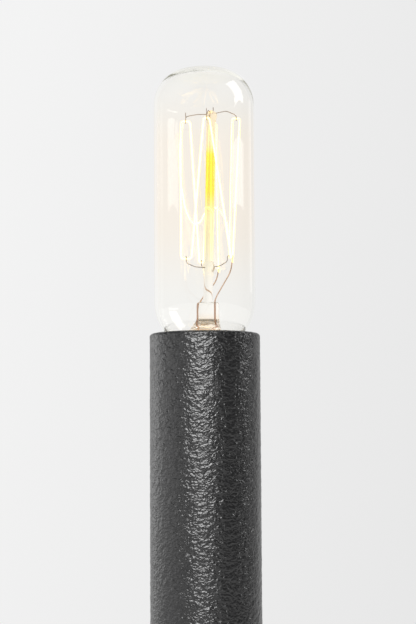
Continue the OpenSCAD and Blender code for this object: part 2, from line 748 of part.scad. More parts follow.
// Hollow threaded nipple between the plug and the bracket
module nipple() color("#c9b27a") on_axis(nipple_z) ring_bar(stem_d, stem_bore, nipple_top_z - nipple_z);

// Outline of the bracket, bent from one strip, with height up the page
module bracket_outline() difference() {
    translate([-leg_y, 0]) square([2 * leg_y, bracket_h]);
    translate([-leg_y + bracket_t, bracket_t]) square([2 * (leg_y - bracket_t), bracket_h - 2 * bracket_t]);
    translate([-flange_y, bracket_t]) square([2 * flange_y, bracket_h]);
}

// Bracket under the lampholder
module holder_bracket() color("#9a9a9c") on_axis(bracket_z) difference() {
    translate([-bracket_w / 2, 0, 0]) rotate([90, 0, 90]) linear_extrude(bracket_w) bracket_outline();
    translate([0, 0, -past]) cylinder(d = stem_d + 2 * hole_room, h = bracket_t + 2 * past);
    for (side = [-1, 1]) translate([0, side * bracket_screw_y, bracket_h - bracket_t - past])
        cylinder(d = bracket_screw_d + 2 * hole_room, h = bracket_t + 2 * past);
}

// Screws that hold the bracket to the lampholder
module bracket_screws() color("#b9bbbd") on_axis(floor_z)
    for (side = [-1, 1]) translate([0, side * bracket_screw_y, bracket_screw_in]) rotate([180, 0, 0])
        slotted_screw(bracket_screw_d, bracket_screw_in + bracket_t, bracket_head_d, bracket_head_h);

// Insulating body of the lampholder
module holder_body() color("#1c1c1d") on_axis(0) difference() {
    translate([0, 0, floor_z]) cylinder(r = holder_r, h = holder_top_z - floor_z);
    translate([0, 0, floor_top_z]) cylinder(r = holder_bore_r, h = holder_top_z - floor_top_z + past);
    for (x = [-live_tail_x - tail_t, neutral_tail_x])
        translate([x - push_room, -tail_w / 2 - push_room, floor_z - past])
            cube([tail_t + 2 * push_room, tail_w + 2 * push_room, holder_floor + 2 * past]);
    for (side = [-1, 1]) translate([0, side * bracket_screw_y, floor_z - past])
        cylinder(d = bracket_screw_d + 2 * nut_room, h = bracket_screw_in + past + push_room);
}

// One terminal on the +x side: a block under the floor and a tail at x that rises through it by rise
module terminal(x, rise) difference() {
    union() {
        translate([term_x, -term_w / 2, floor_z - term_h]) cube([term_len, term_w, term_h]);
        translate([x, -tail_w / 2, floor_z - term_h]) cube([tail_t, tail_w, term_h + holder_floor + rise]);
    }
    translate([term_x - past, 0, wire_z]) rotate([0, 90, 0])
        cylinder(d = wire_d + 4 * push_room, h = term_len);
    translate([term_mid_x, -term_w, wire_z]) along_y() cylinder(d = term_screw_d + 2 * nut_room, h = term_w);
}

// Screw shell with its thread, a flange on the floor and the neutral terminal
module screw_shell() color("#c8a24a") on_axis(0) {
    difference() {
        translate([0, 0, floor_top_z]) cylinder(r = shell_r, h = shell_top_z - floor_top_z);
        translate([0, 0, floor_top_z - past]) cylinder(r = flange_r, h = 2 * past);
        translate([0, 0, floor_top_z + contact_t])
            cylinder(r = shell_root_r + push_room, h = shell_thread_z + thread_run - floor_top_z - contact_t);
        thread_bar(shell_root_r, shell_thread_z, shell_top_z + past, true, false);
    }
    terminal(neutral_tail_x, contact_t);
}

// Centre contact: a sprung leaf under the bulb's foot and the live terminal
module centre_contact() color("#c8a24a") on_axis(0) mirror([1, 0, 0]) {
    leaf_top = contact_h - nut_room;
    translate([0, contact_w / 2, floor_top_z]) rotate([90, 0, 0]) linear_extrude(contact_w) polygon([
        [live_tail_x + tail_t, 0], [live_tail_x + tail_t, contact_t], [contact_h, contact_t],
        [foot_d / 3, leaf_top], [-foot_d / 3, leaf_top], [-foot_d / 3, leaf_top - contact_t],
        [foot_d / 3 - contact_t / 2, leaf_top - contact_t], [contact_h - contact_t / 2, 0]]);
    terminal(live_tail_x, contact_t / 2);
}

// Terminal screws of the lampholder, their tips on the wires
module terminal_screws() color("#b9bbbd") on_axis(wire_z) pair_x(term_mid_x)
    rotate([90, 0, 0]) translate([0, 0, wire_d / 2 + nut_room])
    slotted_screw(term_screw_d, (term_w - wire_d) / 2, term_head_d, term_head_h);

// Route of a supply wire from the lampholder's terminal on the given side to its pole
function supply_route(side, pole_x) = [
    [side * (term_mid_x + term_screw_d / 2), axis_y, wire_z], [side * wire_x, axis_y, wire_z],
    [side * wire_x, axis_y, drop_z], [side * wire_x, run_y, shift_z], [side * wire_x, run_y, 0],
    [side * wire_x, exit_y, 0], [pole_x, exit_y, turn_z], [pole_x, pole_y, entry_z],
    [pole_x, pole_y, block_mid_z]];

// Live wire, brown
module live_wire() color("#6b3f22") sweep(eased(supply_route(-1, poles[0]), wire_bend, 5), wire_d, 8);

// Neutral wire, blue
module neutral_wire() color("#2f5f9e") sweep(eased(supply_route(1, poles[1]), wire_bend, 5), wire_d, 8);

// Earth wire, green, from the lug to its pole
module earth_wire() color("#4f8f3f") sweep(eased([[earth_x, lug_barrel_y, lug_hole_z + lug_barrel_d],
    [earth_x, lug_barrel_y, entry_z], [poles[2], pole_y, entry_z], [poles[2], pole_y, block_mid_z]],
    wire_bend, 5), wire_d, 8);

// Foot contact of the bulb
module bulb_foot() color("#b8b2a0") on_axis(foot_z) rotate_extrude()
    polygon([[0, 0], [foot_d / 4, 0], [foot_d / 2, foot_h / 2], [foot_d / 2, foot_h], [0, foot_h]]);

// Black insulator between the foot contact and the cap
module bulb_insulator() color("#1a1a1b") on_axis(foot_z) rotate_extrude() polygon([
    [lead_d, foot_h + push_room], [foot_d / 2, foot_h + push_room],
    [cap_bore_r - cap_lip / 2, insulator_h], [cap_bore_r - cap_lip, insulator_h],
    [cap_bore_r - cap_lip, insulator_h + lip_h], [lead_d, insulator_h + lip_h]]);

// Screw cap of the bulb: a rolled thread, a plain collar and a lip that holds the insulator
module bulb_cap() color("#cfc6ad") on_axis(0) difference() {
    union() {
        thread_bar(thread_root_r, skirt_z, thread_top_z, true, true);
        translate([0, 0, collar_z]) cylinder(r = thread_root_r + push_room, h = cap_top_z - collar_z);
    }
    translate([0, 0, skirt_z + cap_sheet]) cylinder(r = cap_bore_r, h = cap_top_z - skirt_z);
    translate([0, 0, skirt_z - past]) cylinder(r = cap_bore_r - cap_lip + push_room, h = 2 * past);
}

// Cement between the cap and the neck of the glass
module bulb_cement() color("#d8cdb4") on_axis(rim_z + neck_end)
    ring_bar(2 * (cap_bore_r - nut_room), 2 * (neck_r + nut_room), -cap_below_rim - neck_end);

// Clear glass envelope
module bulb_glass() color("#f4efe2", 0.35) on_axis(rim_z) rotate_extrude() {
    inner = glass_outline(glass_wall);
    polygon(concat(glass_outline(0), [for (i = [len(inner) - 1:-1:0]) inner[i]]));
}

// A bar of diameter d from a to b
module bar(a, b, d) {
    v = b - a;
    translate(a) rotate([0, acos(v.z / norm(v)), atan2(v.y, v.x)]) cylinder(d = d, h = norm(v));
}

// Glass stem: flare, press, exhaust tube and the rod with its two beads
module glass_stem() color("#eee6cf", 0.5) on_axis(rim_z) difference() {
    union() {
        rotate_extrude() polygon(concat([[0, stem_floor]],
            arc(flare_rim_r, stem_floor, flare_arc_r, 180, 270, 12),
            arc(flare_rim_r, stem_floor, flare_arc_r + flare_wall, 270, 180 + flare_angle, 12),
            [[0, stem_floor - flare_wall]]));
        translate([press_x, 0, stem_floor - flare_wall / 2])
            linear_extrude(press_h + flare_wall / 2) slot_outline(press_w, press_t);
        bar(arbor_foot, upper_hub, arbor_d);
        for (hub = [lower_hub, upper_hub]) translate(hub) sphere(d = bead_d);
        translate([0, 0, stem_floor - exhaust_len]) cylinder(d = exhaust_d, h = exhaust_len - flare_wall / 2);
    }
    translate([0, 0, stem_floor - exhaust_len - past]) cylinder(d = exhaust_bore, h = exhaust_len);
}

// Lead wires, pinched in the press
module lead_wires() color("#9a6a48") on_axis(rim_z) {
    sweep(eased(right_lead, 2, 3), lead_d, 6);
    sweep(eased(left_lead, 2, 3), lead_d, 6);
}

// Support wires of the upper hooks
module upper_supports() color("#4a3f38") on_axis(rim_z) for (i = [0:len(upper_hooks) - 1])
    sweep(eased(support_route(upper_hub, upper_hooks[i], upper_sides[i], 1), 1, 3), support_d, 6);

// Support wires of the lower hooks
module lower_supports() color("#4a3f38") on_axis(rim_z) for (i = [0:len(lower_hooks) - 1])
    sweep(eased(support_route(lower_hub, lower_hooks[i], lower_sides[i], -1), 1, 3), support_d, 6);

// Filament: one strand laced up and down over the hooks, and the slack strand
module filament() color("#ffd98a") on_axis(rim_z) {
    laced = concat([right_end],
        hairpin(upper_hooks[0], upper_sides[0]), hairpin(lower_hooks[0], lower_sides[0]),
        hairpin(upper_hooks[1], upper_sides[1]), hairpin(lower_hooks[1], lower_sides[1]),
        hairpin(upper_hooks[2], upper_sides[2]), hairpin(lower_hooks[2], lower_sides[2]),
        hairpin(upper_hooks[3], upper_sides[3]), [left_end]);
    sweep(eased(laced, hairpin_w, 4), filament_d, 8);
    sweep(slack_strand, filament_d, 8);
}

tube();
bottom_cap();
cap_grub_screw();
arm_sleeve();
stem();
saddle_washer();
lock_nuts();
stem_bushings();
back_plate();
plate_washer();
mounting_strap();
strap_studs();
strap_nuts();
cap_nuts();
earth_screw();
earth_lug();
terminal_block();
block_clamps();
clamp_screws();
block_nut();
seat_plug();
plug_screws();
nipple();
holder_bracket();
bracket_screws();
holder_body();
screw_shell();
centre_contact();
terminal_screws();
live_wire();
neutral_wire();
earth_wire();
bulb_foot();
bulb_insulator();
bulb_cap();
bulb_cement();
bulb_glass();
glass_stem();
lead_wires();
upper_supports();
lower_supports();
filament();
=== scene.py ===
# %% [markdown]
# # A wall sconce with a tubular filament bulb
# The lamp is a black tube with a pebbled, cast-looking paint. It stands on a short arm in front of a
# round back plate, and a clear tubular bulb glows in its open top. The shapes that have to fit are
# packed as a CAD frame. This lesson dresses them with relief, glass, glowing wire and finishes.

import json
import math

import bmesh
import bpy
import numpy as np
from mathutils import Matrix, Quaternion, Vector, noise


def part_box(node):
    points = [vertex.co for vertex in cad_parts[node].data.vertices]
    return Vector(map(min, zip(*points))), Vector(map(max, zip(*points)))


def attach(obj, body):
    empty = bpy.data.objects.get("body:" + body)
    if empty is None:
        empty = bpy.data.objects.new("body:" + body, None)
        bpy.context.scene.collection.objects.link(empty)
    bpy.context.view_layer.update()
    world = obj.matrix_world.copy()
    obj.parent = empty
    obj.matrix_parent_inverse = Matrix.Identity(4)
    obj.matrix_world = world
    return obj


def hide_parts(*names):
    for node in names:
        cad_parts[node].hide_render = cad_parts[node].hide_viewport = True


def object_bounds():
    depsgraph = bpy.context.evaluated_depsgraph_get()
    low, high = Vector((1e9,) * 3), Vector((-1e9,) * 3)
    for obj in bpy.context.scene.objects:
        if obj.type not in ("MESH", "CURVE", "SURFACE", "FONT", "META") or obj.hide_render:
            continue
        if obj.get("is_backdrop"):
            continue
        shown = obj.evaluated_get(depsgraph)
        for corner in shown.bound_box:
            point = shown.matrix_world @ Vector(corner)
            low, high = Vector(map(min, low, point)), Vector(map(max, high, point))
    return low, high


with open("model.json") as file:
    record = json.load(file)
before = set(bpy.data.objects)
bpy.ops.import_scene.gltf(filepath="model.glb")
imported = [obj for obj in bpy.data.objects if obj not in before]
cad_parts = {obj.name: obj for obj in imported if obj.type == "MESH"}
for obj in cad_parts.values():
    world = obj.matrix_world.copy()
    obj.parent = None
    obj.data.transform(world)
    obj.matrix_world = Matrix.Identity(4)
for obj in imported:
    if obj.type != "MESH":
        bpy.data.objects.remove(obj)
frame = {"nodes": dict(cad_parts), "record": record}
cad_low, cad_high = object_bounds()
nodes = frame["nodes"]
scene = bpy.context.scene
scene.view_settings.view_transform = "Standard"
print("frame:", len(nodes), "nodes, box from", tuple(cad_low), "to", tuple(cad_high))

# %% [markdown]
# ## Where things are
# Blender works in metres and the lamp is easier to think about in millimetres, so `MM` turns one into
# the other. The main places are read from the CAD nodes, so that what follows fits the frame.

# %% Main places and sizes
MM = 0.001
tube_low, tube_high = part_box("tube")
glass_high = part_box("bulb_glass")[1]
plate_low, plate_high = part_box("back_plate")
axis_y = (tube_low.y + tube_high.y) / 2
tube_r = (tube_high.x - tube_low.x) / 2
rim = Vector((0, axis_y, tube_high.z))
print("tube radius", round(tube_r / MM, 2), "mm, rim at", tuple(round(x / MM, 1) for x in rim), "mm")

# %% [markdown]
# ## The camera
# The picture is taken from straight ahead and a little below the tube's rim, with a long lens. How
# flat the rim's ellipse looks gives the angle from below. The camera is turned a hair about its own
# axis, so the lamp leans a hair to the left.

# %% Place the camera
LENS, SENSOR = 90, 36
RIM_DISTANCE, SIDE_STEP = 0.4938, 0.00103
RIM_FROM_BELOW, LOOK_UP, ROLL = (math.radians(angle) for angle in (4.22, 5.02, 0.3))
camera = bpy.data.objects.new("camera", bpy.data.cameras.new("camera"))
camera.data.lens, camera.data.sensor_width = LENS, SENSOR
towards = Vector((0, -math.cos(RIM_FROM_BELOW), -math.sin(RIM_FROM_BELOW)))
camera.location = rim + RIM_DISTANCE * towards
camera.location.x += SIDE_STEP
camera.rotation_mode = "QUATERNION"
camera.rotation_quaternion = (Quaternion((1, 0, 0), math.radians(90) + LOOK_UP)
                              @ Quaternion((0, 0, 1), -ROLL))
scene.collection.objects.link(camera)
scene.camera = camera
print("camera at", tuple(round(x, 4) for x in camera.location))

# %% [markdown]
# ## Shader sums as Python sums
# A shader is a web of small nodes, and a formula soon needs a dozen of them. Adding each by hand
# hides the formula. The class below wraps one output socket, and plain sums on it add Math nodes, so
# `1 - mask * 0.3` reads as what it is. Every other kind of node comes from its method `make`.

# %% A value in a shader
class Value:
    """An output socket of a shader tree; sums on it add Math nodes."""

    def __init__(self, tree, socket=None):
        self.tree, self.socket = tree, socket

    def make(self, kind, settings=None, inputs=None, out=0):
        """A new node of that kind, its settings first and then its sockets' values or links."""
        node = self.tree.nodes.new("ShaderNode" + kind)
        for name, value in (settings or {}).items():
            setattr(node, name, value)
        for name, value in (inputs or {}).items():
            if isinstance(value, Value):
                self.tree.links.new(value.socket, node.inputs[name])
            else:
                node.inputs[name].default_value = value
        return Value(self.tree, node.outputs[out] if node.outputs else None)

    def sum(self, operation, *values):
        return self.make("Math", {"operation": operation}, dict(enumerate(values)))

    def __add__(self, other):
        return self.sum("ADD", self, other)

    __radd__ = __add__

    def __sub__(self, other):
        return self.sum("SUBTRACT", self, other)

    def __rsub__(self, other):
        return self.sum("SUBTRACT", other, self)

    def __mul__(self, other):
        return self.sum("MULTIPLY", self, other)

    __rmul__ = __mul__

    def __abs__(self):
        return self.sum("ABSOLUTE", self)

    def larger(self, other):
        return self.sum("MAXIMUM", self, other)

    def ramp(self, low, high):
        """0 below low, 1 above high and smooth between."""
        return self.make("MapRange", {"interpolation_type": "SMOOTHSTEP"},
                         {"Value": self, "From Min": low, "From Max": high})

    def between(self, start, full, fading, end):
        """1 from full to fading, and smoothly down to 0 at start and end."""
        return self.ramp(start, full) * (1 - self.ramp(fading, end))

    def blend(self, first, second):
        """A colour between two, with this value as the share of the second."""
        a, b = (c if isinstance(c, Value) else (*c, 1) for c in (first, second))
        return self.make("Mix", {"data_type": "RGBA"}, {0: self, 6: a, 7: b}, out=2)


print("shader sums ready")

# %% [markdown]
# ## The studio
# The picture has a pale wall behind the lamp and soft light from the front and both sides. The world
# gives the pale background to the camera and to what is seen through the glass. As light, and in
# mirrors, it is pale behind and overhead and dim in front, as a black tube shows what it mirrors.

# %% World
PALE, FADE_RIGHT, FADE_DOWN, PALE_LEAST, PALE_MOST = 0.848, 0.27, 0.08, 0.78, 0.9
WALL_LIGHT, ROOM_LIGHT, WALL_EDGE, CEILING_EDGE = 0.78, 0.09, (0.1, 0.9), (0.7, 0.95)
world = bpy.data.worlds.new("studio")
world.use_nodes = True
scene.world = world
world.node_tree.nodes.clear()
start = Value(world.node_tree)
way = start.make("TexCoord", out="Generated")
right, behind, up = (start.make("SeparateXYZ", inputs={0: way}, out=axis) for axis in "XYZ")
seen = start.make("Clamp", inputs={"Value": PALE - right * FADE_RIGHT + up * FADE_DOWN,
                                   "Min": PALE_LEAST, "Max": PALE_MOST})
lit_share = behind.ramp(*WALL_EDGE).larger(up.ramp(*CEILING_EDGE))
light = ROOM_LIGHT + lit_share * (WALL_LIGHT - ROOM_LIGHT)
by_camera, by_glass = (start.make("LightPath", out="Is %s Ray" % kind)
                       for kind in ("Camera", "Transmission"))
level = light + by_camera.larger(by_glass) * (seen - light)
grey = start.make("CombineColor", inputs={0: level, 1: level, 2: level})
start.make("OutputWorld", inputs={"Surface": start.make("Background", inputs={"Color": grey})})
print("world: pale", PALE, "and lit from", ROOM_LIGHT, "to", WALL_LIGHT)

# %% [markdown]
# Clear glass hands light on many times. Cycles gives up on a path after a few such steps and leaves
# it black, which would draw dark rims on the bulb. So light may be mirrored and bent more often here.

# %% Light paths through glass
cycles = scene.cycles
cycles.max_bounces, cycles.glossy_bounces, cycles.transmission_bounces = 32, 18, 24
print("light may be handed on", cycles.max_bounces, "times")

# %% [markdown]
# Area lamps stand in for soft boxes. Each is placed by its direction from the bulb: an angle to the
# right of the camera and a height above the horizon. A front box and a box on each side light the
# tube, and three more on the right are the parts of one window that the glass mirrors. Brightness is
# per area, so a box can change its size alone.

# %% Soft boxes
BULB_MIDDLE = rim + Vector((0, 0, 45 * MM))


def soft_box(name, right, up, distance, width, height, brightness):
    """A rectangular lamp in that direction, turned to face the bulb."""
    lamp = bpy.data.lights.new(name, "AREA")
    lamp.shape, lamp.size, lamp.size_y = "RECTANGLE", width, height
    lamp.energy = math.pi * width * height * brightness
    box = bpy.data.objects.new(name, lamp)
    a, e = math.radians(right), math.radians(up)
    towards = Vector((math.sin(a) * math.cos(e), -math.cos(a) * math.cos(e), math.sin(e)))
    box.location = BULB_MIDDLE + distance * towards
    box.rotation_mode = "QUATERNION"
    box.rotation_quaternion = towards.to_track_quat("Z", "Y")
    scene.collection.objects.link(box)
    print(name, "at", tuple(round(x, 2) for x in box.location))
    return box


front_box = soft_box("front_box", -9.5, 24, 1.5, 1, 0.94, 11)
side_boxes = [soft_box("right_tube_box", 96, 17, 1.1, 0.2, 0.4, 8),
              soft_box("left_sheet", -95, 4, 1.3, 2.6, 0.66, 1.34)]
glass_boxes = [soft_box("right_box", 90, 32.5, 1.1, 0.52, 0.69, 3),
               soft_box("right_low_box", 86, 10.8, 1.1, 0.67, 0.08, 1.4),
               soft_box("right_edge_box", 135, 9.5, 1.2, 0.26, 0.24, 0.2)]

# %% [markdown]
# A finish starts as an empty material. `new_finish` gives the place on the surface in millimetres, so
# a pattern can have its real size. `speckle` is cloudy noise, `relief` bends the shading along a
# height, and `shine` closes the material with one shader.

# %% Helpers for finishes
def new_finish(name):
    """An empty node material, its first value and the place on the surface in millimetres."""
    finish = bpy.data.materials.new(name)
    finish.use_nodes = True
    finish.node_tree.nodes.clear()
    print("new finish", name)
    first = Value(finish.node_tree)
    place = first.make("VectorMath", {"operation": "SCALE"},
                       {0: first.make("TexCoord", out="Object"), "Scale": 1 / MM})
    return finish, first, place


def squeezed(first, place, factors):
    """The place times a factor for each axis; a large one makes a pattern finer."""
    return first.make("VectorMath", {"operation": "MULTIPLY"}, {0: place, 1: factors})


def speckle(first, place, size, detail=3, rough=0.55):
    """Cloudy noise between 0 and 1 with spots of about that size in millimetres."""
    return first.make("TexNoise", inputs={"Vector": place, "Scale": 1 / size, "Detail": detail,
                                          "Roughness": rough})


def relief(first, height, depth, strength):
    """A bent normal from a height; depth is in millimetres."""
    return first.make("Bump", inputs={"Strength": strength, "Distance": depth * MM,
                                      "Height": height})


def shine(first, **sockets):
    """A Principled shader on the surface; underscores in the names stand for spaces."""
    named = {name.replace("_", " "): value for name, value in sockets.items()}
    shader = first.make("BsdfPrincipled", inputs=named)
    first.make("OutputMaterial", inputs={"Surface": shader})


print("finish helpers ready")

# %% [markdown]
# The lamp hangs on a wall, well above the floor. That is a large pale sheet with a slow mottling,
# marked as stage because it isn't part of the lamp. Far out it is dim, and the glass would show that
# as dark lines. So the camera, mirrors and glass see it mostly as a pale glow, and a tenth of real
# light keeps the shadow.

# %% Floor
FLOOR_DROP, FLOOR_HALF, FLOOR_GLOW, MOTTLE = 0.25, 4, 0.9, 300
floor_paint, first, place = new_finish("floor_paint")
pale_floor = speckle(first, place, MOTTLE).blend((0.82, 0.82, 0.815), (0.87, 0.87, 0.865))
lit = first.make("BsdfPrincipled", inputs={"Base Color": pale_floor, "Roughness": 0.7})
glow = first.make("Emission", inputs={"Color": pale_floor})
by_camera, by_mirror, by_glass = (first.make("LightPath", out="Is %s Ray" % kind)
                                  for kind in ("Camera", "Glossy", "Transmission"))
looked_at = by_camera.larger(by_mirror).larger(by_glass)
floor_mix = first.make("MixShader", inputs={0: looked_at * FLOOR_GLOW, 1: lit, 2: glow})
first.make("OutputMaterial", inputs={"Surface": floor_mix})
floor_z = cad_low.z - FLOOR_DROP
corners = [(x * FLOOR_HALF, y * FLOOR_HALF, floor_z)
           for x, y in ((-1, -1), (1, -1), (1, 1), (-1, 1))]
floor_mesh = bpy.data.meshes.new("floor")
floor_mesh.from_pydata(corners, [], [(0, 1, 2, 3)])
floor_mesh.materials.append(floor_paint)
floor = bpy.data.objects.new("floor", floor_mesh)
scene.collection.objects.link(floor)
floor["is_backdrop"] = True
print("floor at", round(floor_z, 3), "m")

# %% [markdown]
# ## The pebbled paint
# The tube, the arm, the back plate and the bottom cap carry one finish: a black, half-glossy paint
# over a surface like rough cast iron. Its pebbles are one to three millimetres long and show in the
# outline, so they are real relief. The material adds what is finer: shallow wrinkles and creases, a
# paint grain and uneven gloss.

# %% Paint material
CLOUD, SMEAR, WRINKLE, CREASE, GRAIN, PAINT_DEPTH = 14, 3.5, 1.75, 1.4, 0.25, 0.33
pebbled_paint, first, place = new_finish("pebbled_paint")
cloud = speckle(first, place, CLOUD)
smears = speckle(first, place, SMEAR, 2)
flat = squeezed(first, place, (1, 1, 1.35))
wrinkle = speckle(first, flat, WRINKLE, 1, 0.5)
crease = abs(speckle(first, flat, CREASE, 1, 0.5) - 0.5)
grain = speckle(first, place, GRAIN, 2, 0.6)
paint_height = wrinkle + crease * 1.2 + grain * 0.04
shine(first, Base_Color=cloud.blend((0.003, 0.003, 0.0033), (0.007, 0.007, 0.0074)),
      Roughness=0.22 + smears * 0.1 + grain * 0.06, IOR=1.65,
      Normal=relief(first, paint_height, PAINT_DEPTH, 1))

# %% [markdown]
# Relief on a turned part is easiest when the part is wound up from rings of points. `lathe` turns an
# outline into rings and `skin` puts faces between them. An outline is a closed loop of radius, height
# and the share of relief at that place.

# %% Rings and skins
def around(columns):
    """The angles of points that stand evenly round a ring."""
    return 2 * np.pi * np.arange(columns) / columns


def wound(r, h, t):
    """Rings round Z from radii, heights and angles."""
    return np.stack([r * np.cos(t), r * np.sin(t), h + 0 * t], -1)


def lathe(outline, columns):
    """Rings of points round Z, one for each outline point, in the outline's units."""
    return wound(outline[:, :1], outline[:, 1:2], around(columns))


def dense(outline, step):
    """The closed outline with points added where relief is, at most step apart."""
    made = []
    for (r0, h0, w0), (r1, h1, w1) in zip(outline, outline[1:] + outline[:1]):
        parts = max(1, math.ceil(math.hypot(r1 - r0, h1 - h0) / step)) if w0 and w1 else 1
        made += [(r0 + (r1 - r0) * k / parts, h0 + (h1 - h0) * k / parts,
                  w0 + (w1 - w0) * k / parts) for k in range(parts)]
    return np.array(made)


def corner(r, h, radius, start_angle, end_angle, share, steps=6):
    """Outline points of a rounded corner about (r, h)."""
    return [(r + radius * math.cos(t), h + radius * math.sin(t), share)
            for t in np.radians(np.linspace(start_angle, end_angle, steps))]


def skin(rings, joined):
    """Faces over rings; joined closes the last on the first, and else both ends are filled."""
    n, m = rings.shape[:2]
    i, k = np.meshgrid(np.arange(n if joined else n - 1), np.arange(m), indexing="ij")
    j, l = (i + 1) % n, (k + 1) % m
    faces = np.stack([i * m + k, i * m + l, j * m + l, j * m + k], -1).reshape(-1, 4).tolist()
    if not joined:
        faces += [list(range(m - 1, -1, -1)), list(range((n - 1) * m, n * m))]
    return faces


print("rings and skins ready")

# %% [markdown]
# The relief is worked out from the place in space, as bent noise of three sizes, so it has no seam.
# It presses inwards only, between the pebbles, and the part keeps its CAD size. Blender seeds the
# bending by the clock, so a fixed seed is set, and each run gives the same pebbles.

# %% Pebble relief
PEBBLE_SIZE, PEBBLE_DEPTH, PEBBLE_BEND, PEBBLE_GAIN, PEBBLE_SEED = 1.9, 0.135, 0.45, 1.25, 7
noise.seed_set(PEBBLE_SEED)


def pressed(p):
    """Depth of the relief at a place in millimetres, 0 on a pebble's top and 1 in a crease."""
    q = Vector(p) / PEBBLE_SIZE
    bent = q + PEBBLE_BEND * noise.noise_vector(q * 0.8)
    high = noise.turbulence(bent, 3, True, amplitude_scale=0.5, frequency_scale=2.1)
    return max(0, min(1, 1 - PEBBLE_GAIN * high))


def press_pebbles(rings, outline):
    """Moves the rings of a turned part inwards, square to its outline, between the pebbles."""
    along = (np.roll(outline, -1, 0) - np.roll(outline, 1, 0))[:, :2]
    out = np.stack([along[:, 1], -along[:, 0]], -1) / np.linalg.norm(along, axis=1, keepdims=True)
    share = outline[:, 2]
    radius = np.maximum(np.hypot(rings[..., 0], rings[..., 1]), 1e-6)
    for i in np.nonzero(share > 0)[0]:
        sink = -PEBBLE_DEPTH * share[i] * np.array([pressed(p) for p in rings[i]])
        flat = out[i, 0] * rings[i, :, :2] / radius[i][:, None]
        ways = np.column_stack([flat, np.full(len(sink), out[i, 1])])
        rings[i] += sink[:, None] * ways
    return rings


print("pebbles of", PEBBLE_SIZE, "mm, pressed", PEBBLE_DEPTH, "mm")

# %% [markdown]
# Every piece is made in the same few steps: points and faces become a mesh, its normals are turned
# outwards, it gets its material, and it rides on a CAD body in place of the CAD node it stands for.

# %% Put a piece in the scene
SHARP = 50


def tidy_normals(mesh, sharp):
    """Turns all faces outwards and marks sharper edges, so that smooth shading stops there."""
    bm = bmesh.new()
    bm.from_mesh(mesh)
    bmesh.ops.recalc_face_normals(bm, faces=bm.faces)
    for edge in bm.edges:
        if len(edge.link_faces) == 2 and edge.calc_face_angle() > math.radians(sharp):
            edge.smooth = False
    bm.to_mesh(mesh)
    bm.free()


def piece(name, points, faces, body=None, finish=None, slot=None, node=None, sharp=SHARP):
    """A mesh in metres that rides on a body in place of a CAD node; without a body it is a tool."""
    mesh = bpy.data.meshes.new(name)
    mesh.from_pydata(np.asarray(points).reshape(-1, 3).tolist(), [], faces)
    mesh.shade_smooth()
    tidy_normals(mesh, sharp)
    made = bpy.data.objects.new(name, mesh)
    scene.collection.objects.link(made)
    if body:
        mesh.materials.append(finish)
        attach(made, body)
        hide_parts(node)
        print(name, "has", len(mesh.polygons), "faces and stands for", node)
    return made


def upright(rings):
    """Rings from millimetres about the tube's axis to metres in the frame."""
    return rings * MM + np.array([0, axis_y, 0])


def towards_wall(rings):
    """Rings turned so that their heights run along +Y, from millimetres to metres."""
    return np.stack([rings[..., 0], rings[..., 2], -rings[..., 1]], -1) * MM


print("piece maker ready")

# %% [markdown]
# Holes are drilled with Blender's Boolean modifier. Its Manifold solver is made for closed meshes
# with many faces. The result is copied back into the piece, so no modifier slows the scene.

# %% Drill and join
def tool(rings):
    """A closed bar from rings in metres, to cut away or to join."""
    return piece("tool", rings, skin(rings, False))


def rod(start_point, end_point, radius, sides=40):
    """A round bar between two points in millimetres, as a tool."""
    a, b = Vector(start_point), Vector(end_point)
    turn = (b - a).to_track_quat("Z", "Y").to_matrix()
    ring = [turn @ Vector((radius * math.cos(t), radius * math.sin(t), 0))
            for t in np.linspace(0, 2 * math.pi, sides, endpoint=False)]
    return tool(np.array([[tuple(end + p) for p in ring] for end in (a, b)]) * MM)


def combine(target, operation, tools):
    """Cuts the tools from the target or joins them to it, and removes the tools."""
    for bar in tools:
        step = target.modifiers.new("step", "BOOLEAN")
        step.operation, step.solver, step.object = operation, "MANIFOLD", bar
    bpy.context.view_layer.update()
    seen_by = bpy.context.evaluated_depsgraph_get()
    made = bpy.data.meshes.new_from_object(target.evaluated_get(seen_by))
    target.modifiers.clear()
    old, target.data = target.data, made
    bpy.data.meshes.remove(old)
    for bar in tools:
        bpy.data.objects.remove(bar)
    tidy_normals(made, SHARP)
    print(target.name, operation.lower(), len(tools), "gives", len(made.polygons), "faces")


print("drill ready")

# %% [markdown]
# ## The tube
# Paint hardly reaches into the bore, so the inside is bare drawn metal. Drawing leaves long streaks
# in the gloss: noise that is stretched along the tube.

# %% Bare metal of the bore
bare_bore, first, place = new_finish("bare_bore")
streaks = speckle(first, squeezed(first, place, (1, 1, 0.1)), 0.6, 3)
bare = speckle(first, place, 8).blend((0.55, 0.55, 0.54), (0.66, 0.66, 0.65))
shine(first, Base_Color=bare, Metallic=0.5, Roughness=0.4 + streaks * 0.15)

# %% [markdown]
# The tube is one long turned part with a rounded rim. A point every 0.6 mm is fine enough to draw
# each pebble. The back is drilled for the stem, the two plug screws and the grub screw.

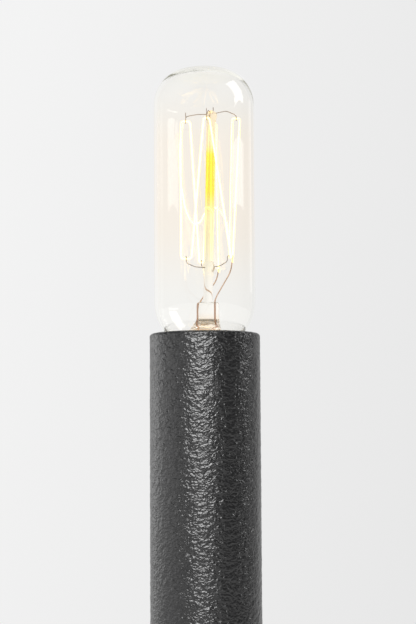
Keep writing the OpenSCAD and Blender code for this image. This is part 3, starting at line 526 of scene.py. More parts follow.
# %% Tube
TUBE_WALL, RIM_ROUND, BORE_ROUND, RELIEF_STEP = 1.6, 1.1, 0.5, 0.6
RELIEF_END, PAINT_END, BORE_SLACK = 4, 2, 0.05
STEM_HOLE_R, GRUB_HOLE_R, PLUG_HOLE_R = 5.25, 2.1, 1.75
PLUG_SCREW_ANGLE, PLUG_SCREW_Z, GRUB_Z = 40, 116, -105
R, Y, TOP, BOTTOM = tube_r / MM, axis_y / MM, tube_high.z / MM, tube_low.z / MM
BORE, FAR = R - TUBE_WALL, R + 2
PAINTED = "sconce", pebbled_paint, "pebbled_paint"
outline = dense(
    [(R, BOTTOM, 1), (R, TOP - RIM_ROUND, 1)]
    + corner(R - RIM_ROUND, TOP - RIM_ROUND, RIM_ROUND, 15, 90, 0.55)
    + corner(BORE + BORE_ROUND, TOP - BORE_ROUND, BORE_ROUND, 90, 180, 0.3)
    + [(BORE, TOP - RELIEF_END, 0), (BORE, BOTTOM, 0)], RELIEF_STEP)
rings = press_pebbles(lathe(outline, columns=192), outline)
tube = piece("tube_cast", upright(rings), skin(rings, True), *PAINTED, "tube")
drills = [rod((0, Y, 0), (0, Y + FAR, 0), STEM_HOLE_R),
          rod((0, Y, GRUB_Z), (0, Y + FAR, GRUB_Z), GRUB_HOLE_R)]
for side in (-1, 1):
    a = math.radians(90 + side * PLUG_SCREW_ANGLE)
    end = (FAR * math.cos(a), Y + FAR * math.sin(a), PLUG_SCREW_Z)
    drills.append(rod((0, Y, PLUG_SCREW_Z), end, PLUG_HOLE_R))
combine(tube, "DIFFERENCE", drills)
tube.data.materials.append(bare_bore)
for face in tube.data.polygons:
    x, y, z = face.center
    if math.hypot(x, y - axis_y) < (BORE + BORE_SLACK) * MM and z < (TOP - PAINT_END) * MM:
        face.material_index = 1

# %% [markdown]
# ## Bottom cap, arm and back plate
# The cap closes the tube with a thin flange, and its spigot sits in the bore. It is wound up like the
# tube and shares its relief.

# %% Bottom cap
CAP_FLANGE, CAP_EDGE, SPIGOT, SPIGOT_EDGE, SPIGOT_ROOM = 3, 1, 10, 0.6, 0.1
GRUB_THREAD_R, AXIS_R = 2.05, 0.2
PLUG_R, low, high = BORE - SPIGOT_ROOM, BOTTOM - CAP_FLANGE, BOTTOM + SPIGOT
outline = dense(
    [(AXIS_R, low, 1), (R - CAP_EDGE, low, 1)]
    + corner(R - CAP_EDGE, low + CAP_EDGE, CAP_EDGE, 285, 345, 1, 4)
    + [(R, low + CAP_EDGE, 1), (R, BOTTOM, 1), (PLUG_R, BOTTOM, 0), (PLUG_R, high - SPIGOT_EDGE, 0),
       (PLUG_R - SPIGOT_EDGE, high, 0), (AXIS_R, high, 0)], RELIEF_STEP)
rings = press_pebbles(lathe(outline, columns=160), outline)
cap = piece("cap_cast", upright(rings), skin(rings, False), *PAINTED, "bottom_cap")
combine(cap, "DIFFERENCE", [rod((0, Y, GRUB_Z), (0, Y + FAR, GRUB_Z), GRUB_THREAD_R)])

# %% [markdown]
# The arm's sleeve is a short pipe whose end sits on the round tube. A cut would leave ragged rings,
# so each ring is laid between the saddle on the tube and the flat plate.

# %% Arm sleeve
ARM_R, SEAT_ROOM, SLEEVE_ROWS = 10, 0.1, 56
plate_front = plate_low.y / MM


def sleeve_ring(radius, share):
    """A ring of the sleeve, about the arm's axis, at that share of the way from tube to plate."""
    a = around(112)
    x, z = radius * np.cos(a), radius * np.sin(a)
    seat = Y + np.sqrt((R + SEAT_ROOM) ** 2 - x ** 2)
    return np.stack([x, seat + share * (plate_front - seat), z], -1)


rings = np.array([sleeve_ring(ARM_R, share) for share in np.linspace(0, 1, SLEEVE_ROWS)]
                 + [sleeve_ring(STEM_HOLE_R, share) for share in np.linspace(1, 0, 4)])
for ring in rings[:SLEEVE_ROWS]:
    for p in ring:
        inward = PEBBLE_DEPTH * pressed(p) / ARM_R
        p[0], p[2] = p[0] * (1 - inward), p[2] * (1 - inward)
piece("arm_cast", rings * MM, skin(rings, True), *PAINTED, "arm_sleeve")

# %% [markdown]
# The back plate is a shallow cup with a rounded front edge. It is wound up round the arm's axis, and
# two holes let the studs of the wall strap through.

# %% Back plate
PLATE_R, PLATE_WALL, PLATE_EDGE, PLATE_STEP = plate_high.x / MM, 2, 4, 0.85
FOOT_EDGE, FOOT_RISE, FOOT_INNER = 0.5, 0.6, 0.4
STUD_X, STUD_HOLE_R, DRILL_OVER = 30, 2.25, 2
inner_r, inner_edge = PLATE_R - PLATE_WALL, PLATE_EDGE - PLATE_WALL
inner_front = plate_front + PLATE_WALL
outline = dense(
    [(STEM_HOLE_R, plate_front, 1), (PLATE_R - PLATE_EDGE, plate_front, 1)]
    + corner(PLATE_R - PLATE_EDGE, plate_front + PLATE_EDGE, PLATE_EDGE, 280, 350, 1, 8)
    + [(PLATE_R, plate_front + PLATE_EDGE, 1), (PLATE_R, -FOOT_RISE, 1), (PLATE_R - FOOT_EDGE, 0, 0),
       (inner_r + FOOT_INNER, 0, 0), (inner_r, -FOOT_INNER, 0)]
    + corner(inner_r - inner_edge, plate_front + PLATE_EDGE, inner_edge, 360, 270, 0, 6)
    + [(STEM_HOLE_R, inner_front, 0)], PLATE_STEP)
rings = press_pebbles(lathe(outline, columns=400), outline)
plate = piece("plate_cast", towards_wall(rings), skin(rings, True), *PAINTED, "back_plate")
combine(plate, "DIFFERENCE", [rod((x, plate_front - DRILL_OVER, 0), (x, inner_front + DRILL_OVER, 0),
                                  STUD_HOLE_R) for x in (-STUD_X, STUD_X)])

# %% [markdown]
# The terminal block hangs on a stud that is welded inside the back plate. It is a plain rod in the
# CAD, and here it gets a rolled thread: rings whose radius goes in and out along a screw line.

# %% Threaded stud of the plate
STUD_PLACE, STUD_R, STUD_DEPTH, STUD_PITCH = np.array([5, 0, 28]), 1.5, 0.22, 0.5
STUD_SUNK, STUD_END, TURN_ROWS = 0.8, -3.6, 6
low, high = inner_front - STUD_SUNK, STUD_END
h = np.linspace(low, high, round((high - low) / STUD_PITCH * TURN_ROWS))[:, None]
t = around(16)
ends = np.minimum(np.minimum(h - low, high - h) / STUD_PITCH, 1)
groove = STUD_DEPTH * (0.5 + 0.5 * np.cos(2 * np.pi * h / STUD_PITCH - t))
stud = wound(STUD_R - groove - STUD_DEPTH * (1 - ends), h, t)
combine(plate, "UNION", [tool(towards_wall(stud) + STUD_PLACE * MM)])

# %% [markdown]
# ## The bulb's glass
# The envelope is clear. By the filament it has a painted warm tint and a very faint glow, which stand
# in for the filament's light that the glass hands on inside its wall. At the crown, where blown glass
# gathers, it is painted a little yellow for the filament's light caught there.

# %% Glass material
CROWN_BAND = 82.5, 84.5


def above_rim(first, place):
    """Height over the tube's rim in millimetres."""
    return first.make("SeparateXYZ", inputs={0: place}, out="Z") - rim.z / MM


clear_glass, first, place = new_finish("clear_glass")
breath = speckle(first, place, 9, 4)
height = above_rim(first, place)
# Painted light: the crown band is tinted yellow for the filament's light caught in the glass there,
# and its glow is almost turned off.
crown_light_share = height.ramp(*CROWN_BAND)
tint = speckle(first, place, 40).blend((1.0, 0.997, 0.99), (1.0, 0.995, 0.987))
tint = crown_light_share.blend(tint, (1.0, 0.985, 0.93))
# Painted light: a warm tint along the filament's height stands in for its light in the glass.
tint = height.between(10, 36, 62, 80).blend(tint, (1.0, 0.986, 0.958))
glow = height.ramp(8, 40).blend((0.62, 0.62, 0.46), (0.9, 0.52, 0.12))
glow = height.ramp(58, 80).blend(glow, (0.44, 0.42, 0.24))
glow = crown_light_share.blend(glow, (0.02, 0.015, 0.0))
shine(first, Base_Color=tint, Roughness=breath.ramp(0.55, 0.9) * 0.04, IOR=1.45,
      Transmission_Weight=1, Emission_Color=glow, Emission_Strength=0.026)

# %% [markdown]
# The glass is a tube with a flat crown and a round shoulder that narrows to the neck. Glass only
# looks right with a real wall, because light bends both into it and out of it. So the outline runs
# down the outside and comes back up the inside. The crown's wall is thicker, and more so on the right.

# %% Glass envelope
GLASS_R, GLASS_TOP, GLASS_WALL = 16, (glass_high.z - rim.z) / MM, 0.9
CROWN_R, CROWN_START, CORNER_R, NECK_R, NECK_TOP, NECK_END = 30, 89.3, 11.5, 11, -1.4, -9
CROWN_GATHER, CROWN_FULL, CROWN_FADE = 0.3, 9, 14
CROWN_LEAN, LEAN_LOW, LEAN_HIGH = 0.012, 72, 80


def smooth(share):
    """A share from 0 to 1 with soft ends."""
    return share * share * (3 - 2 * share)


def glass_side():
    """Outline of the glass's outer face from the crown to the neck's end."""
    corner_x, crown_z = GLASS_R - CORNER_R, GLASS_TOP - CROWN_R
    corner_z = crown_z + math.sqrt((CROWN_R - CORNER_R) ** 2 - corner_x ** 2)
    turn = math.degrees(math.atan2(corner_z - crown_z, corner_x))
    shoulder_z = NECK_TOP + math.sqrt(GLASS_R ** 2 - NECK_R ** 2)
    neck_turn = -math.degrees(math.acos(NECK_R / GLASS_R))
    return np.array(corner(0, crown_z, CROWN_R, CROWN_START, turn, 0, 24)
                    + corner(corner_x, corner_z, CORNER_R, turn, 0, 0, 24)[1:]
                    + corner(0, shoulder_z, GLASS_R, 0, neck_turn, 0, 22)
                    + [(NECK_R, NECK_END, 0)])


def wall_inside(outline):
    """The outline moved in by the wall, which is thicker at the crown."""
    along = np.gradient(outline[:, :2], axis=0)
    along /= np.linalg.norm(along, axis=1, keepdims=True)
    inward = np.stack([along[:, 1], -along[:, 0]], -1)
    fade = np.clip((outline[:, 0] - CROWN_FULL) / (CROWN_FADE - CROWN_FULL), 0, 1)
    at_crown = (outline[:, 1] > GLASS_TOP / 2) * (1 - smooth(fade))
    moved = outline.copy()
    moved[:, :2] += (GLASS_WALL + CROWN_GATHER * at_crown)[:, None] * inward
    moved[:, 0] = np.maximum(moved[:, 0], outline[0, 0])
    moved[-1, 1] = NECK_END
    return moved


def at_rim(rings):
    """Rings from millimetres about the rim's centre to metres in the frame."""
    return rings * MM + np.array(rim)


outside = glass_side()
rings = lathe(np.concatenate([outside, wall_inside(outside)[::-1]]), columns=128)
inner = rings[len(outside):]
lean_share = np.clip((inner[..., 2] - LEAN_LOW) / (LEAN_HIGH - LEAN_LOW), 0, 1)
inner[..., 2] -= CROWN_LEAN * inner[..., 0] * lean_share
envelope = piece("glass_envelope", at_rim(rings), skin(rings, False), "bulb", clear_glass,
                 "clear_glass", "bulb_glass", 60)

# %% [markdown]
# ## The glass stem
# Inside, a flared glass foot is pinched flat into a press, and a glass rod rises from it to carry the
# wires. The rod's yellow and its upper bead's orange are painted light of the filament, and so is the
# stem's faint warm glow. The copper in the press tints the foot.

# %% Stem glass material
stem_glass, first, place = new_finish("stem_glass")
ripple = speckle(first, place, 1.6, 3)
height = above_rim(first, place)
yellow = height.between(14, 32, 62, 74) * 0.36 + height.between(36, 47, 56.5, 62) * 0.64
tint = height.between(-2, 1.5, 4, 7).blend((0.99, 0.98, 0.96), (0.985, 0.88, 0.77))
tint = yellow.blend(tint, (1.0, 0.86, 0.05))
tint = (height.ramp(57, 63) * 0.6).blend(tint, (1.0, 0.83, 0.6))
# Painted glow: a faint warm emission in the stem glass stands in for the filament's light caught in
# it.
warm = height.ramp(0, 30).blend((1.0, 0.86, 0.72), (1.0, 0.75, 0.2))
shine(first, Base_Color=tint, Roughness=0.02 + ripple * 0.05, IOR=1.5, Transmission_Weight=1,
      Emission_Color=warm, Emission_Strength=0.03)

# %% [markdown]
# The foot and press are one loft from round to flat. It starts in the thin exhaust tube, goes round
# the hollow foot and the flare's rim, and closes at the top of the press.

# %% Flare and press
PRESS_X, PRESS_TOP, PRESS_W, PRESS_T, STEM_FLOOR = 1, 10, 7.2, 3.6, 0
FLARE_R, FLARE_RIM_R, FLARE_WALL, LOFT_COLUMNS = 5.2, 10.0, 0.8, 64
EXHAUST_R, EXHAUST_BORE, EXHAUST_TIP, EXHAUST_END = 1.6, 1.0, 0.15, -14
PINCH, HOLLOW, HOLLOW_ROUND = 5, 0.38, 1.8
PINCH_TOP = STEM_FLOOR + HOLLOW * PINCH + 0.1
flare_arc = FLARE_RIM_R - FLARE_R


def pinched(z, half_w, half_t, x):
    """A ring that is round when both halves are equal and flat-sided when they differ."""
    square = 2 + 2 * (1 - half_t / half_w)
    t = around(LOFT_COLUMNS)
    c, s = np.cos(t), np.sin(t)
    return np.stack([x + half_w * np.sign(c) * np.abs(c) ** (2 / square),
                     half_t * np.sign(s) * np.abs(s) ** (2 / square), z + 0 * t], -1)


def cone(share, inset):
    """A ring of the pinched foot, that far inside its outer face."""
    ease = smooth(share)
    return pinched(STEM_FLOOR + share * PINCH, FLARE_R + ease * (PRESS_W / 2 - FLARE_R) - inset,
                   FLARE_R + ease * (PRESS_T / 2 - FLARE_R) - inset, ease * PRESS_X)


exhaust = [(EXHAUST_TIP, PINCH_TOP - 1, 0), (EXHAUST_BORE, PINCH_TOP - 1, 0),
           (EXHAUST_BORE, EXHAUST_END, 0), (EXHAUST_R, EXHAUST_END, 0), (EXHAUST_R, PINCH_TOP, 0)]
flare = (corner(FLARE_RIM_R, STEM_FLOOR, flare_arc + FLARE_WALL, 180, 270, 0, 12)
         + corner(FLARE_RIM_R, STEM_FLOOR, flare_arc, 270, 180, 0, 12))
loft = list(lathe(np.array(exhaust), LOFT_COLUMNS))
loft += [cone(share, FLARE_WALL + HOLLOW_ROUND * (share / HOLLOW) ** 6)
         for share in HOLLOW * np.linspace(1, 0.09, 14) ** 0.7]
loft += list(lathe(np.array(flare), LOFT_COLUMNS))
loft += [cone(share, 0) for share in np.linspace(0.06, 1, 16)]
loft += [pinched(PRESS_TOP - drop, PRESS_W / 2 - inset, PRESS_T / 2 - inset, PRESS_X)
         for drop, inset in ((1, 0), (0.35, 0.12), (0.08, 0.5), (0, 1.1))]
rings = at_rim(np.array(loft))
stem_piece = piece("stem_blown", rings, skin(rings, False), "bulb", stem_glass, "stem_glass",
                   "glass_stem", 60)

# %% [markdown]
# Rods, wires and the filament all follow a path. The path's corners are eased into curves first. A
# side direction is then carried along it without twist, and a ring of points is put round every place.

# %% Paths and sweeps
def eased(points, bend, steps):
    """The path with each corner rounded over at most the length bend."""
    p = np.array(points, float)
    made = [p[0]]
    for before, here, after in zip(p, p[1:], p[2:]):
        b, f = before - here, after - here
        b_long, f_long = np.linalg.norm(b), np.linalg.norm(f)
        cut = min(bend, 0.45 * b_long, 0.45 * f_long)
        first_end, last_end = here + cut * b / b_long, here + cut * f / f_long
        made += [(1 - t) ** 2 * first_end + 2 * t * (1 - t) * here + t * t * last_end
                 for t in np.linspace(0, 1, steps)]
    return np.array(made + [p[-1]])


def evenly(path, step):
    """The path with its points respaced evenly, about step apart."""
    run = np.concatenate([[0], np.cumsum(np.linalg.norm(np.diff(path, axis=0), axis=1))])
    at = np.linspace(0, run[-1], max(2, round(run[-1] / step)))
    return np.stack([np.interp(at, run, path[:, k]) for k in range(3)], -1)


def sides_of(path):
    """Two side directions at each point of a path, carried along with no twist."""
    heading = np.gradient(path, axis=0)
    heading /= np.linalg.norm(heading, axis=1, keepdims=True)
    side = np.cross(heading[0], (0, 1, 0) if abs(heading[0][1]) < 0.7 else (1, 0, 0))
    sides = []
    for t in heading:
        side = side - (side @ t) * t
        side = side / np.linalg.norm(side)
        sides.append(side)
    return np.array(sides), np.cross(heading, sides)


def sweep(path, radius, columns):
    """Rings round a path; radius is one number or one for each point."""
    s, u = (side[:, None] for side in sides_of(path))
    t = around(columns)[:, None]
    r = np.broadcast_to(np.asarray(radius, float), len(path))[:, None, None]
    return path[:, None] + r * (np.cos(t) * s + np.sin(t) * u)


print("paths and sweeps ready")

# %% [markdown]
# The rod leans a little and swells into two beads where the support wires are melted in. It is a
# sweep with a changing radius, and it is joined to the press so that the stem is one closed solid.

# %% Glass rod
ROD_FOOT, UPPER_HUB, LOWER_HUB_Z = np.array((1, 0, 9.0)), np.array((2.4, 0, 70.5)), 21
ROD_R, BEAD_R, BEAD_SPREAD, ROD_OVER, TIP = 1.5, 2.0, 1.5, 0.02, 0.02
reach = UPPER_HUB - ROD_FOOT
LOWER_HUB = ROD_FOOT + (LOWER_HUB_Z - ROD_FOOT[2]) / reach[2] * reach
path = ROD_FOOT + np.linspace(0, 1, 90)[:, None] * (UPPER_HUB + reach * ROD_OVER - ROD_FOOT)
bulge = sum(np.exp(-((path[:, 2] - hub[2]) / BEAD_SPREAD) ** 2) for hub in (LOWER_HUB, UPPER_HUB))
to_tip = np.clip((path[-1, 2] + TIP - path[:, 2]) / BEAD_R, 0.002, 1)
radius = (ROD_R + (BEAD_R - ROD_R) * np.clip(bulge, 0, 1)) * np.sqrt(1 - (1 - to_tip) ** 2)
combine(stem_piece, "UNION", [tool(at_rim(sweep(path, radius, 32)))])

# %% [markdown]
# ## Wires in the bulb
# Two copper-clad leads come out of the press, and dark molybdenum wires are melted into the rod's
# beads. Heat leaves oxide patches on them, so each finish mixes two colours, and the leads are redder
# down in the press.

# %% Wire materials
def wire_finish(name, first_colour, second_colour, foot_colour, patch, rough):
    """A drawn metal wire with oxide patches, and with another colour down in the press."""
    finish, first, place = new_finish(name)
    oxide = speckle(first, place, patch, 4)
    in_press = 1 - above_rim(first, place).ramp(8, 11)
    colour = oxide.ramp(0.35, 0.65).blend(first_colour, second_colour)
    draw = speckle(first, place, 0.15, 2)
    shine(first, Base_Color=in_press.blend(colour, foot_colour), Metallic=0.85,
          Roughness=rough + oxide * 0.2, Normal=relief(first, draw, 0.02, 0.3))
    return finish


lead_copper = wire_finish("lead_copper", (0.8, 0.58, 0.45), (0.58, 0.41, 0.31),
                          (0.62, 0.33, 0.2), 2.5, 0.3)
hook_wire = wire_finish("hook_wire", (0.5, 0.42, 0.37), (0.34, 0.28, 0.24),
                        (0.34, 0.28, 0.24), 1.5, 0.35)

# %% [markdown]
# The leads bring the current through the press to the filament's ends. They are swept along corner
# points close to those of the CAD, with softer bends, and are a little thicker in the glass.

# %% Lead wires
RIGHT_END, LEFT_END = np.array((9, 3, 23.0)), np.array((4.6, 4, 20.0))
LEAD_R, PRESSED_R, LEAD_BEND, UP = 0.2, 0.26, 2, np.array((0, 0, 1.0))
right_lead = [RIGHT_END + UP, (8.4, 2.5, 20), (3.8, 0.5, 12), (3.1, 0, 10), (3.1, 0, 0),
              (3.1, 0, -15), (0, 0, -20), (0, 0, -26.4)]
left_lead = [LEFT_END + UP, (3.7, 4, 17), (-0.5, 2.6, 12), (-2, 0, 9), (-2, 0, 0),
             (-3, 0, -11), (-11.2, 0, -13)]


def several(name, sweeps, *facts):
    """One piece from several closed sweeps in millimetres about the rim's centre."""
    points, faces = [], []
    for rings in sweeps:
        faces += [[len(points) + v for v in face] for face in skin(rings, False)]
        points += at_rim(rings).reshape(-1, 3).tolist()
    return piece(name, points, faces, *facts)


lead_sweeps = []
for lead in (right_lead, left_lead):
    path = eased(lead, LEAD_BEND, 7)
    radius = np.where(path[:, 2] < PRESS_TOP + 1, PRESSED_R, LEAD_R)
    lead_sweeps.append(sweep(path, radius, 12))
several("leads_drawn", lead_sweeps, "bulb", lead_copper, "lead_wire", "lead_wires")

# %% [markdown]
# The support wires reach out from the beads and end in small hooks, no two alike. So each hook has
# its own place, side, rise and length of tail, and one function draws them all.

# %% Support wires
HOOK_R, HOOK_TURN, HOOK_BEND, FILAMENT_R, HOOK_ROOM = 0.13, 1.0, 0.8, 0.4, 0.1
KNEE_SHARE, ROOT_SHARE = 0.6, 0.75
upper_hooks = np.array([(10.5, 2, 69.5), (0.9, -8, 67.6), (-5.8, -1, 68), (3.1, 8, 69)])
upper_sides = np.array([(-1, 0, 0), (-1, 0, 0), (1, 0, 0), (1, 0, 0)])
upper_bends = [(1.4, 0.8), (0.4, 2.9), (-0.4, 2.9), (0.4, 5.6)]
lower_hooks = np.array([(8.2, -2, 24), (-5.8, 0.5, 24), (-1, 7, 23.5)])
lower_sides = np.array([(0.3, -0.95, 0), (-1, 0, 0), (1, 0, 0)])
lower_bends = [(0.4, 0.6), (0.4, 0.6), (0.4, 0.9)]


def hook_path(hub, hook, side, turned, rise, tail_length):
    """From the bead out to the hook, under the filament's bend and up again into a tail."""
    n = HOOK_TURN * np.array((-side[1], side[0], 0))
    drop = turned * (FILAMENT_R + HOOK_R + HOOK_ROOM) * UP
    over = hook - n + 2 * drop
    knee = hub + np.append(KNEE_SHARE * (over - hub)[:2], rise)
    tail = hook + 0.5 * n + turned * tail_length * UP
    root = hub + ROOT_SHARE * BEAD_R * (knee - hub) / np.linalg.norm(knee - hub)
    return eased([root, knee, over, hook - n - drop, hook + n - drop, tail], HOOK_BEND, 6)


upper = zip(upper_hooks, upper_sides, upper_bends)
lower = zip(lower_hooks, lower_sides, lower_bends)
for level, hub, turned, hooks in (("upper", UPPER_HUB, 1, upper), ("lower", LOWER_HUB, -1, lower)):
    bent = [sweep(hook_path(hub, hook, side, turned, *bend), HOOK_R, 10)
            for hook, side, bend in hooks]
    several(level + "_hooks_bent", bent, "bulb", hook_wire, "support_wire", level + "_supports")

# %% [markdown]
# ## The filament
# The strand is a fine wire wound into a long spring, laced up and down over the hooks. It glows, and
# the inside of a coil is brighter than its outside, because each turn lights the next. So the wire
# carries an `inside` value: it is white where it faces the coil's centre and warm yellow outside.

# %% Filament material
hot_filament, first, place = new_finish("hot_filament")
inside_share = first.make("Attribute", {"attribute_name": "inside"}, out="Fac")
cold = speckle(first, place, 6, 2).blend((0.25, 0.22, 0.2), (0.35, 0.31, 0.28))
hot = inside_share.ramp(0.25, 0.75).blend((1.0, 0.66, 0.2), (1.0, 0.93, 0.72))
shine(first, Base_Color=cold, Metallic=0.6, Roughness=0.5, Emission_Color=hot,
      Emission_Strength=2.6)

# %% [markdown]
# Two paths are wound into coils: the strand that is laced over the hooks, and a slack one that sags
# behind it. A helix follows the path, and the wire is swept along the helix.

# %% Coiled filament
COIL_R, COIL_WIRE_R, COIL_PITCH, TURN_POINTS = 0.3, 0.1, 0.34, 9
upper_turns, lower_turns = (1.25, 0.9, 1.4, 1.0), (0.6, 1.6, 0.7)
slack = [(-6.8, -0.9, 67.5), (-7.6, 0.5, 61), (-7.6, 1.5, 49), (-6.6, 2.8, 43), (-5.9, 3.2, 40),
         (-4.9, 3.4, 37.5), (-3.6, 3.4, 35.8), (-2.4, 3.4, 35.5), (-1, 3.4, 36.3), (0.2, 3.4, 39),
         (2, 3.4, 40.8), (4, 3.2, 40.8), (5.2, 3, 39.8), (6.4, 2.5, 37.8), (7.2, 2, 35.5),
         (7.9, 0.6, 30), (8.1, -0.8, 25)]


def hairpin(hook, side, half):
    """The two corners of the filament's bend round a hook."""
    return [hook - half * side, hook + half * side]


def coil(path):
    """The path respaced, and the centreline of a wire wound round it."""
    middle = evenly(path, COIL_PITCH / TURN_POINTS)
    s, u = sides_of(middle)
    t = (2 * np.pi / TURN_POINTS * np.arange(len(middle)))[:, None]
    return middle, middle + COIL_R * (np.cos(t) * s + np.sin(t) * u)


laced = [RIGHT_END]
for k in range(4):
    laced += hairpin(upper_hooks[k], upper_sides[k], upper_turns[k])
    laced += hairpin(lower_hooks[k], lower_sides[k], lower_turns[k]) if k < 3 else [LEFT_END]
coils, inside = [], []
for path in (eased(laced, 1, 9), eased(slack, 2, 4)):
    middle, wire = coil(path)
    coils.append(sweep(wire, COIL_WIRE_R, 5))
    away = np.linalg.norm(coils[-1] - middle[:, None], axis=2)
    inside += ((COIL_R + COIL_WIRE_R - away) / (2 * COIL_WIRE_R)).ravel().tolist()
filament = several("filament_coiled", coils, "bulb", hot_filament, "hot_filament", "filament", 80)
filament.data.attributes.new("inside", "FLOAT", "POINT").data.foreach_set("value", inside)

# %% [markdown]
# ## The bulb's screw cap
# The cap is thin plated sheet, rolled into a round thread, and shows when the bulb is unscrewed. One
# function makes all metals of the lamp. They differ in tint, gloss and the run of their fine marks.

# %% Metal materials
def metal(name, colour, tint, rough, patch, scratch, depth, brushed=(1, 1, 1)):
    """Bare or plated metal: tinted patches, uneven gloss and fine marks, finer along brushed axes."""
    finish, first, place = new_finish(name)
    patches = speckle(first, place, patch, 3)
    marks = speckle(first, squeezed(first, place, brushed), scratch, 4, 0.65)
    shine(first, Base_Color=patches.ramp(0.3, 0.7).blend(colour, tint), Metallic=1,
          Roughness=rough + patches * 0.12 + marks * 0.1, Normal=relief(first, marks, depth, 0.4))
    return finish


nickel_cap = metal("nickel_cap", (0.7, 0.67, 0.6), (0.62, 0.57, 0.49), 0.2, 6, 0.4, 0.02, (1, 1, 4))

# %% [markdown]
# The radius of each ring goes in and out along the same screw line as in the CAD, so the cap still
# runs in the lampholder's shell. The rest is a thin sheet with a lip round the foot.

# %% Screw cap
FOOT_Z, SKIRT_Z, THREAD_TOP, CAP_TOP = 162, 167, 184, 188
ROOT_R, THREAD_DEPTH, PITCH, SHEET, LIP, BEAD, CAP_COLUMNS = 12.2, 0.85, 3.629, 0.4, 2, 0.1, 96
h = np.linspace(SKIRT_Z, THREAD_TOP, 74)[:, None]
t = around(CAP_COLUMNS)
fade = np.clip(np.minimum(h - SKIRT_Z, THREAD_TOP - h) / PITCH, 0, 1)
r = ROOT_R + fade * THREAD_DEPTH * (0.5 - 0.5 * np.cos(2 * np.pi * (h - FOOT_Z) / PITCH - t))
bore, lip_r = ROOT_R - SHEET, ROOT_R - SHEET - LIP + BEAD
rest = [(ROOT_R + BEAD, THREAD_TOP + 0.2, 0), (ROOT_R + BEAD, CAP_TOP - 0.25, 0),
        (ROOT_R, CAP_TOP, 0), (bore, CAP_TOP, 0), (bore, SKIRT_Z + SHEET, 0),
        (lip_r, SKIRT_Z + SHEET, 0), (lip_r, SKIRT_Z, 0)]
rings = upright(np.concatenate([wound(r, h, t), lathe(np.array(rest), CAP_COLUMNS)]))
piece("cap_rolled", rings, skin(rings, True), "bulb", nickel_cap, "nickel_cap", "bulb_cap", 60)

# %% [markdown]
# ## Wiring
# Three insulated wires run to the terminal block and show from behind. One function makes their soft
# plastic and all other mouldings and plain paints: a slow drift of colour and a fine grain.

# %% Plastic materials
def plastic(name, colour, tint, rough, patch, grain, depth, coat=0.0):
    """Moulded plastic: slow colour drift and a fine moulded grain."""
    finish, first, place = new_finish(name)
    drift = speckle(first, place, patch, 3)
    texture = speckle(first, place, grain, 3)
    shine(first, Base_Color=drift.blend(colour, tint), Roughness=rough + texture * 0.15,
          Normal=relief(first, texture, depth, 0.4), Coat_Weight=coat)
    return finish


INSULATIONS = {"brown_insulation": ((0.17, 0.075, 0.03), (0.24, 0.11, 0.05)),
               "blue_insulation": ((0.035, 0.12, 0.4), (0.06, 0.17, 0.48)),
               "green_insulation": ((0.08, 0.3, 0.06), (0.14, 0.38, 0.09))}
insulation = {name: plastic(name, *tints, 0.35, 8, 0.4, 0.02) for name, tints in INSULATIONS.items()}

# %% [markdown]
# Each wire follows the corner points of its CAD node with wide bends, as stiff wire does: down the
# tube, through the arm and up into its clamp. The earth wire starts at the plate.

# %% Wires
WIRE_R, WIRE_BEND, WIRE_X = 1.0, 6, 1.2
TERM_X, WIRE_Z, DROP_Z, SHIFT_Z, RUN_Y, EXIT_Y = 10.05, 150.5, 91, 71, -80, -8
POLE_Y, TURN_Z, ENTRY_Z, POLE_Z = -12.35, 11, 15, 28


def feed_wire(side, pole_x):
    """Corner points of a wire from the lampholder to its clamp."""
    x = side * WIRE_X
    return [(side * TERM_X, Y, WIRE_Z), (x, Y, WIRE_Z), (x, Y, DROP_Z), (x, RUN_Y, SHIFT_Z),
            (x, RUN_Y, 0), (x, EXIT_Y, 0), (pole_x, EXIT_Y, TURN_Z), (pole_x, POLE_Y, ENTRY_Z),
            (pole_x, POLE_Y, POLE_Z)]


earth = [(18, -3.8, 7.15), (18, -3.8, ENTRY_Z), (10, POLE_Y, ENTRY_Z), (10, POLE_Y, POLE_Z)]
for name, points, slot in (("live", feed_wire(-1, -10), "brown_insulation"),
                           ("neutral", feed_wire(1, 0), "blue_insulation"),
                           ("earth", earth, "green_insulation")):
    rings = sweep(eased(points, WIRE_BEND, 9), WIRE_R, 16) * MM
    piece(name + "_drawn", rings, skin(rings, False), "sconce", insulation[slot], slot,
          name + "_wire")

# %% [markdown]
# ## Finishes of the remaining parts
# Screws, nuts, the lampholder and the terminal block keep their CAD shapes, which are exact. Each
# gets the finish of its slot.

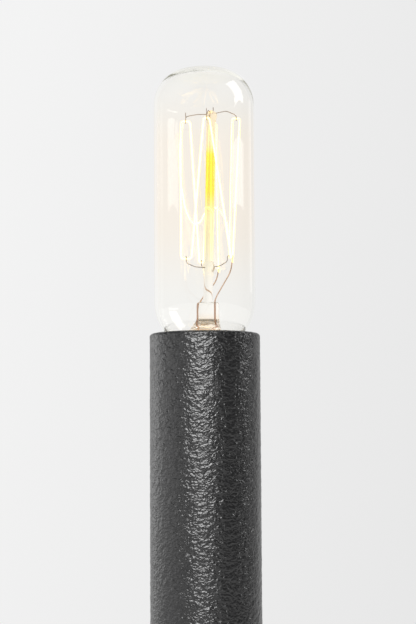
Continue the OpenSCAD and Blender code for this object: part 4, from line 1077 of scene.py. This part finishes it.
# %% Finishes for the CAD parts
METALS = {
    "dark_steel": ((0.12, 0.12, 0.125), (0.18, 0.18, 0.19), 0.3, 2, 0.3, 0.01),
    "brass_thread": ((0.66, 0.49, 0.21), (0.57, 0.4, 0.16), 0.2, 5, 0.4, 0.01, (1, 4, 1)),
    "zinc_steel": ((0.58, 0.59, 0.61), (0.5, 0.51, 0.55), 0.24, 7, 0.5, 0.01, (1, 1, 5)),
    "cast_aluminium": ((0.56, 0.57, 0.58), (0.47, 0.48, 0.49), 0.34, 6, 0.5, 0.02, (1, 1, 6)),
    "brass": ((0.7, 0.52, 0.2), (0.6, 0.42, 0.15), 0.26, 6, 0.5, 0.01, (1, 1, 3)),
    "solder": ((0.56, 0.55, 0.51), (0.44, 0.43, 0.4), 0.3, 2, 0.8, 0.06),
}
PLASTICS = {
    "black_metal": ((0.018, 0.018, 0.019), (0.03, 0.03, 0.031), 0.3, 5, 0.35, 0.03),
    "white_plastic": ((0.78, 0.76, 0.7), (0.83, 0.81, 0.76), 0.38, 12, 0.5, 0.02),
    "green_metal": ((0.05, 0.24, 0.07), (0.08, 0.31, 0.1), 0.26, 3, 0.4, 0.01, 0.4),
    "black_phenolic": ((0.01, 0.01, 0.011), (0.02, 0.019, 0.019), 0.22, 9, 0.8, 0.02),
    "black_glass": ((0.008, 0.008, 0.01), (0.016, 0.015, 0.02), 0.08, 5, 1.2, 0.03, 0.6),
    "cement": ((0.7, 0.63, 0.5), (0.78, 0.72, 0.6), 0.75, 3, 0.5, 0.12),
}
finishes = {name: metal(name, *facts) for name, facts in METALS.items()}
finishes.update({name: plastic(name, *facts) for name, facts in PLASTICS.items()})
dressed = 0
for part in frame["record"]["subparts"]:
    if part["material_slot"] in finishes:
        for place_of in nodes[part["node"]].material_slots:
            place_of.material = finishes[part["material_slot"]]
        dressed += 1
print("finished", dressed, "CAD parts")

# %% [markdown]
# The front and side boxes make the pebbles glint. On the bulb they would mirror as hard white patches,
# and the window that draws the bulb's highlights would speckle the tube. As a photographer shades a
# lamp with a flag, light linking says which pieces each lamp lights.

# %% Flags for the lamps
def flag(name, boxes, state, pieces):
    """Makes the lamps leave out those pieces, or light nothing else."""
    shaded = bpy.data.collections.new(name)
    for box in boxes:
        box.light_linking.receiver_collection = shaded
    for thing in pieces:
        shaded.objects.link(thing)
    for member in shaded.collection_objects:
        member.light_linking.link_state = state
    print(name, "for", [box.name for box in boxes], state.lower(), [p.name for p in pieces])


flag("off_glass", [front_box], "EXCLUDE", [envelope, stem_piece])
flag("off_glass_and_floor", side_boxes, "EXCLUDE", [envelope, stem_piece, floor])
flag("only_glass", glass_boxes, "INCLUDE", [envelope, stem_piece])

# %% [markdown]
# ## Size
# The dressed lamp is meant to keep the CAD's size, so both boxes are printed next to each other.

# %% Print both boxes
low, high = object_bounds()
{"cad": [list(cad_low), list(cad_high)], "visual": [list(low), list(high)]}
print("CAD box", [tuple(cad_low), tuple(cad_high)], "dressed box", [tuple(low), tuple(high)])
